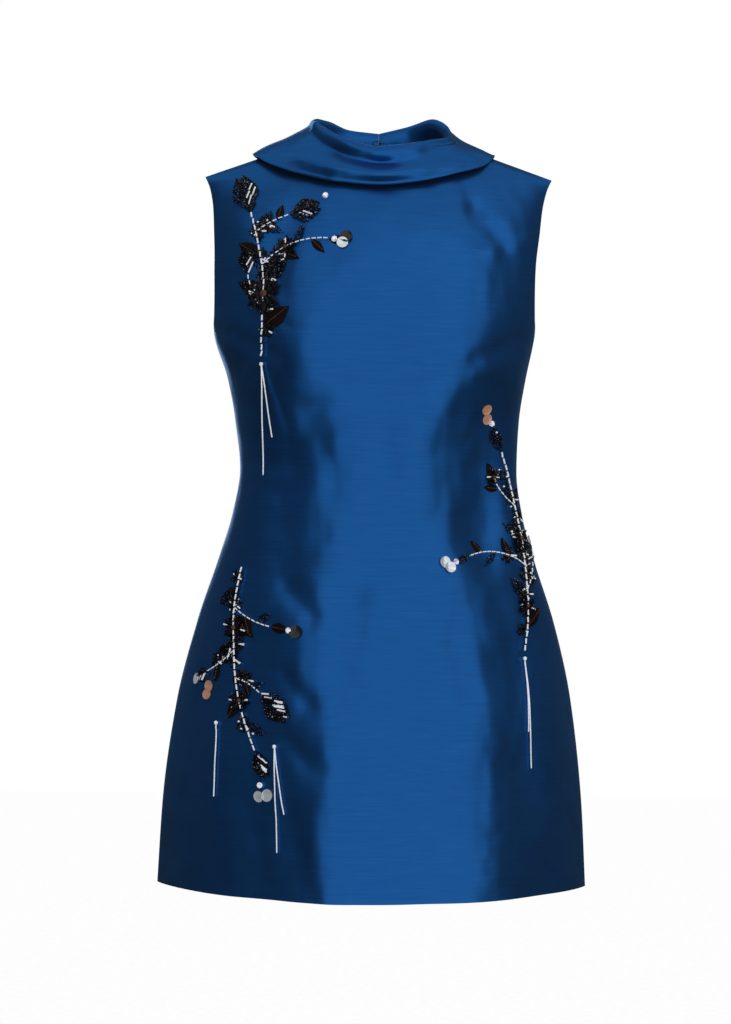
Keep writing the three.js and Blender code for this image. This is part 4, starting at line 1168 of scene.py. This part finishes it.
def strand_path(knot, arc, z, end_arc, length):
    """Straight down from the knot, and along the cloth where that stands out further."""
    t = np.linspace(0, 1, STRAND_POINTS)
    heights = z - length * t
    end_x = girth_point(end_arc, z - length)[0]
    free = np.stack([mix(knot[0], end_x, t), np.full(STRAND_POINTS, knot[1]), heights], -1)
    cloth_at = girth_point(mix(arc, end_arc, t), heights)
    out = out_of(cloth_at)
    laid = cloth_at + out * (STRAND_RADIUS + STRAND_CLEAR)
    is_free = np.sum(free * out, -1) > np.sum(laid * out, -1)
    path = np.where(is_free[:, None], free, laid)
    path[0] = knot
    return swayed(path)


def thread_beads(beads, path):
    steps = np.concatenate([[0], np.cumsum(np.linalg.norm(np.diff(path, axis=0), axis=1))])
    for at in np.arange(STRAND_PITCH / 2, steps[-1], STRAND_PITCH):
        middle, ahead = [
            np.array([np.interp(where, steps, path[:, i]) for i in range(3)]) for where in (at, at + 1)
        ]
        down = unit(ahead - middle)
        side = unit(np.cross(down, [0.0, 1.0, 0.0]))
        axes = np.array([down, side, np.cross(down, side)])
        beads.put("bugle", middle, axes, STRAND_BUGLE, SILVER_PAINTED_GLOW)
        end = middle + down * STRAND_PITCH / 2
        beads.put("seed", end, axes, (STRAND_SEED,) * 3, SILVER_PAINTED_GLOW)


for name, (arc, z, ends) in DROPS.items():
    beads = Beads()
    root = girth_point(arc, z)
    knot = root + out_of(root) * (KNOT_RADIUS + KNOT_CLEAR)
    beads.put("seed", swayed(knot), np.eye(3), (KNOT_BEAD,) * 3, SILVER_PAINTED_GLOW)
    for end_arc, length in ends:
        thread_beads(beads, strand_path(knot, arc, z, end_arc, length))
    beads.made("beads_" + name, name, "beads")

# Zip and hook keep their solids, with looks of their own
for node, material in {
    "zip_tape_left": TAPE,
    "zip_tape_right": TAPE,
    "zip_slider": ENAMEL,
    "zip_pull": ENAMEL,
    "neck_hook": WIRE,
    "neck_eye": WIRE,
}.items():
    mesh = frame["nodes"][node].data
    mesh.materials.clear()
    mesh.materials.append(material)

# The teeth of the closed zip, on the inner face of its tapes, from hand to hand in turn
TOOTH = (2.6, 0.5, 0.6)
TOOTH_PITCH = 2
TOOTH_DEPTH = 4.2
TOOTH_ASIDE = 0.5
FIRST_TOOTH_Z = -31
LAST_TOOTH_Z = -466
teeth = Beads()
for row, z in enumerate(np.arange(FIRST_TOOTH_Z, LAST_TOOTH_Z, -TOOTH_PITCH)):
    aside = TOOTH_ASIDE if row % 2 else -TOOTH_ASIDE
    place = np.array([aside, float(body_y("back", 0, z)) - TOOTH_DEPTH, z])
    teeth.put("bugle", swayed(place), np.eye(3), TOOTH, ENAMEL)
row_of_teeth = new_object(
    "zip_teeth", np.concatenate(teeth.points), teeth.faces, [ENAMEL], smooth=False,
)
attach(row_of_teeth, "dress")

# The studio: a white sweep, and light that reaches the cloth mostly from the front
FLOOR_Z = -2.4
FLOOR_SIZE = 30


def split_for_camera(nodes, links, lit, seen, output):
    """One look for the camera's own rays, and another for the light that falls on the dress."""
    path, pick = nodes.new("ShaderNodeLightPath"), nodes.new("ShaderNodeMixShader")
    links.new(path.outputs["Is Camera Ray"], pick.inputs["Fac"])
    links.new(lit, pick.inputs[1])
    links.new(seen, pick.inputs[2])
    links.new(pick.outputs["Shader"], nodes[output].inputs["Surface"])


def white_floor():
    """White to the camera, and a dull grey to the cloth, as a floor far below the dress would be."""
    material, nodes, links, shader = principled("floor_paper")
    grain = noise(nodes, links, (1, 1, 1), 30.0)
    grey = ramp(nodes, links, grain.outputs["Fac"], (0.2, 0.2, 0.2, 1), (0.24, 0.24, 0.24, 1))
    white = ramp(nodes, links, grain.outputs["Fac"], (0.97, 0.97, 0.97, 1), (1, 1, 1, 1))
    links.new(grey, shader.inputs["Base Color"])
    set_inputs(shader, Roughness=0.9)
    shown = nodes.new("ShaderNodeEmission")
    links.new(white, shown.inputs["Color"])
    lit, seen = shader.outputs["BSDF"], shown.outputs["Emission"]
    split_for_camera(nodes, links, lit, seen, "Material Output")
    bpy.ops.mesh.primitive_plane_add(size=FLOOR_SIZE, location=(0, 0, FLOOR_Z))
    made = bpy.context.object
    made.name = "floor"
    made.data.materials.append(material)
    return made


white_floor()

scene = bpy.context.scene
scene.view_settings.view_transform = "Standard"
scene.world = bpy.data.worlds.new("studio")
scene.world.use_nodes = True
tree = scene.world.node_tree
seen, lit = tree.nodes.new("ShaderNodeBackground"), tree.nodes["Background"]
set_inputs(seen, Color=(1, 1, 1, 1), Strength=1)
set_inputs(lit, Color=(0.9, 0.95, 1, 1), Strength=0.12)
looks = lit.outputs["Background"], seen.outputs["Background"]
split_for_camera(tree.nodes, tree.links, *looks, "World Output")


def area_light(name, place, target, size, power):
    light = bpy.data.lights.new(name, "AREA")
    light.shape = "RECTANGLE"
    light.size, light.size_y = size
    light.energy = power
    obj = bpy.data.objects.new(name, light)
    scene.collection.objects.link(obj)
    obj.visible_camera = False
    obj.location = place
    way = np.array(target, float) - np.array(place, float)
    tilt = math.atan2(math.hypot(way[0], way[1]), -way[2])
    obj.rotation_euler = (tilt, 0, math.atan2(-way[0], way[1]))


# Place and target in metres, width and height in metres, power in watts
LIGHTS = {
    "key": ((0.95, -3.3, 0.1), (0, 0, -0.3), (7.4, 5.0), 80),
    "key_top": ((0.3, -2.2, 3.2), (0, 0, -0.1), (9.0, 2.6), 40),
    "key_low": ((0.4, -2.4, -2.3), (0, 0, -0.4), (5.0, 1.8), 18),
    "over": ((0, 0.7, 3.0), (0, -0.05, 0), (6.0, 3.0), 26),
    "fill_back": ((-0.6, 3.0, 0.4), (0, 0, -0.4), (1.6, 2.0), 20),
}
for name, (place, target, size, power) in LIGHTS.items():
    area_light(name, place, target, size, power)

# The photograph is nearly level, from as high as the hips, and turned by a little over half a degree
CAMERA_PLACE = (-0.0103, -2.7, -0.398)
CAMERA_ROLL = -0.6
LENS = 87.9
camera_data = bpy.data.cameras.new("camera")
camera_data.sensor_fit = "VERTICAL"
camera_data.sensor_height = 36
camera_data.lens = LENS
camera = bpy.data.objects.new("camera", camera_data)
scene.collection.objects.link(camera)
camera.location = CAMERA_PLACE
camera.rotation_euler = (math.radians(90), math.radians(CAMERA_ROLL), 0)
scene.camera = camera
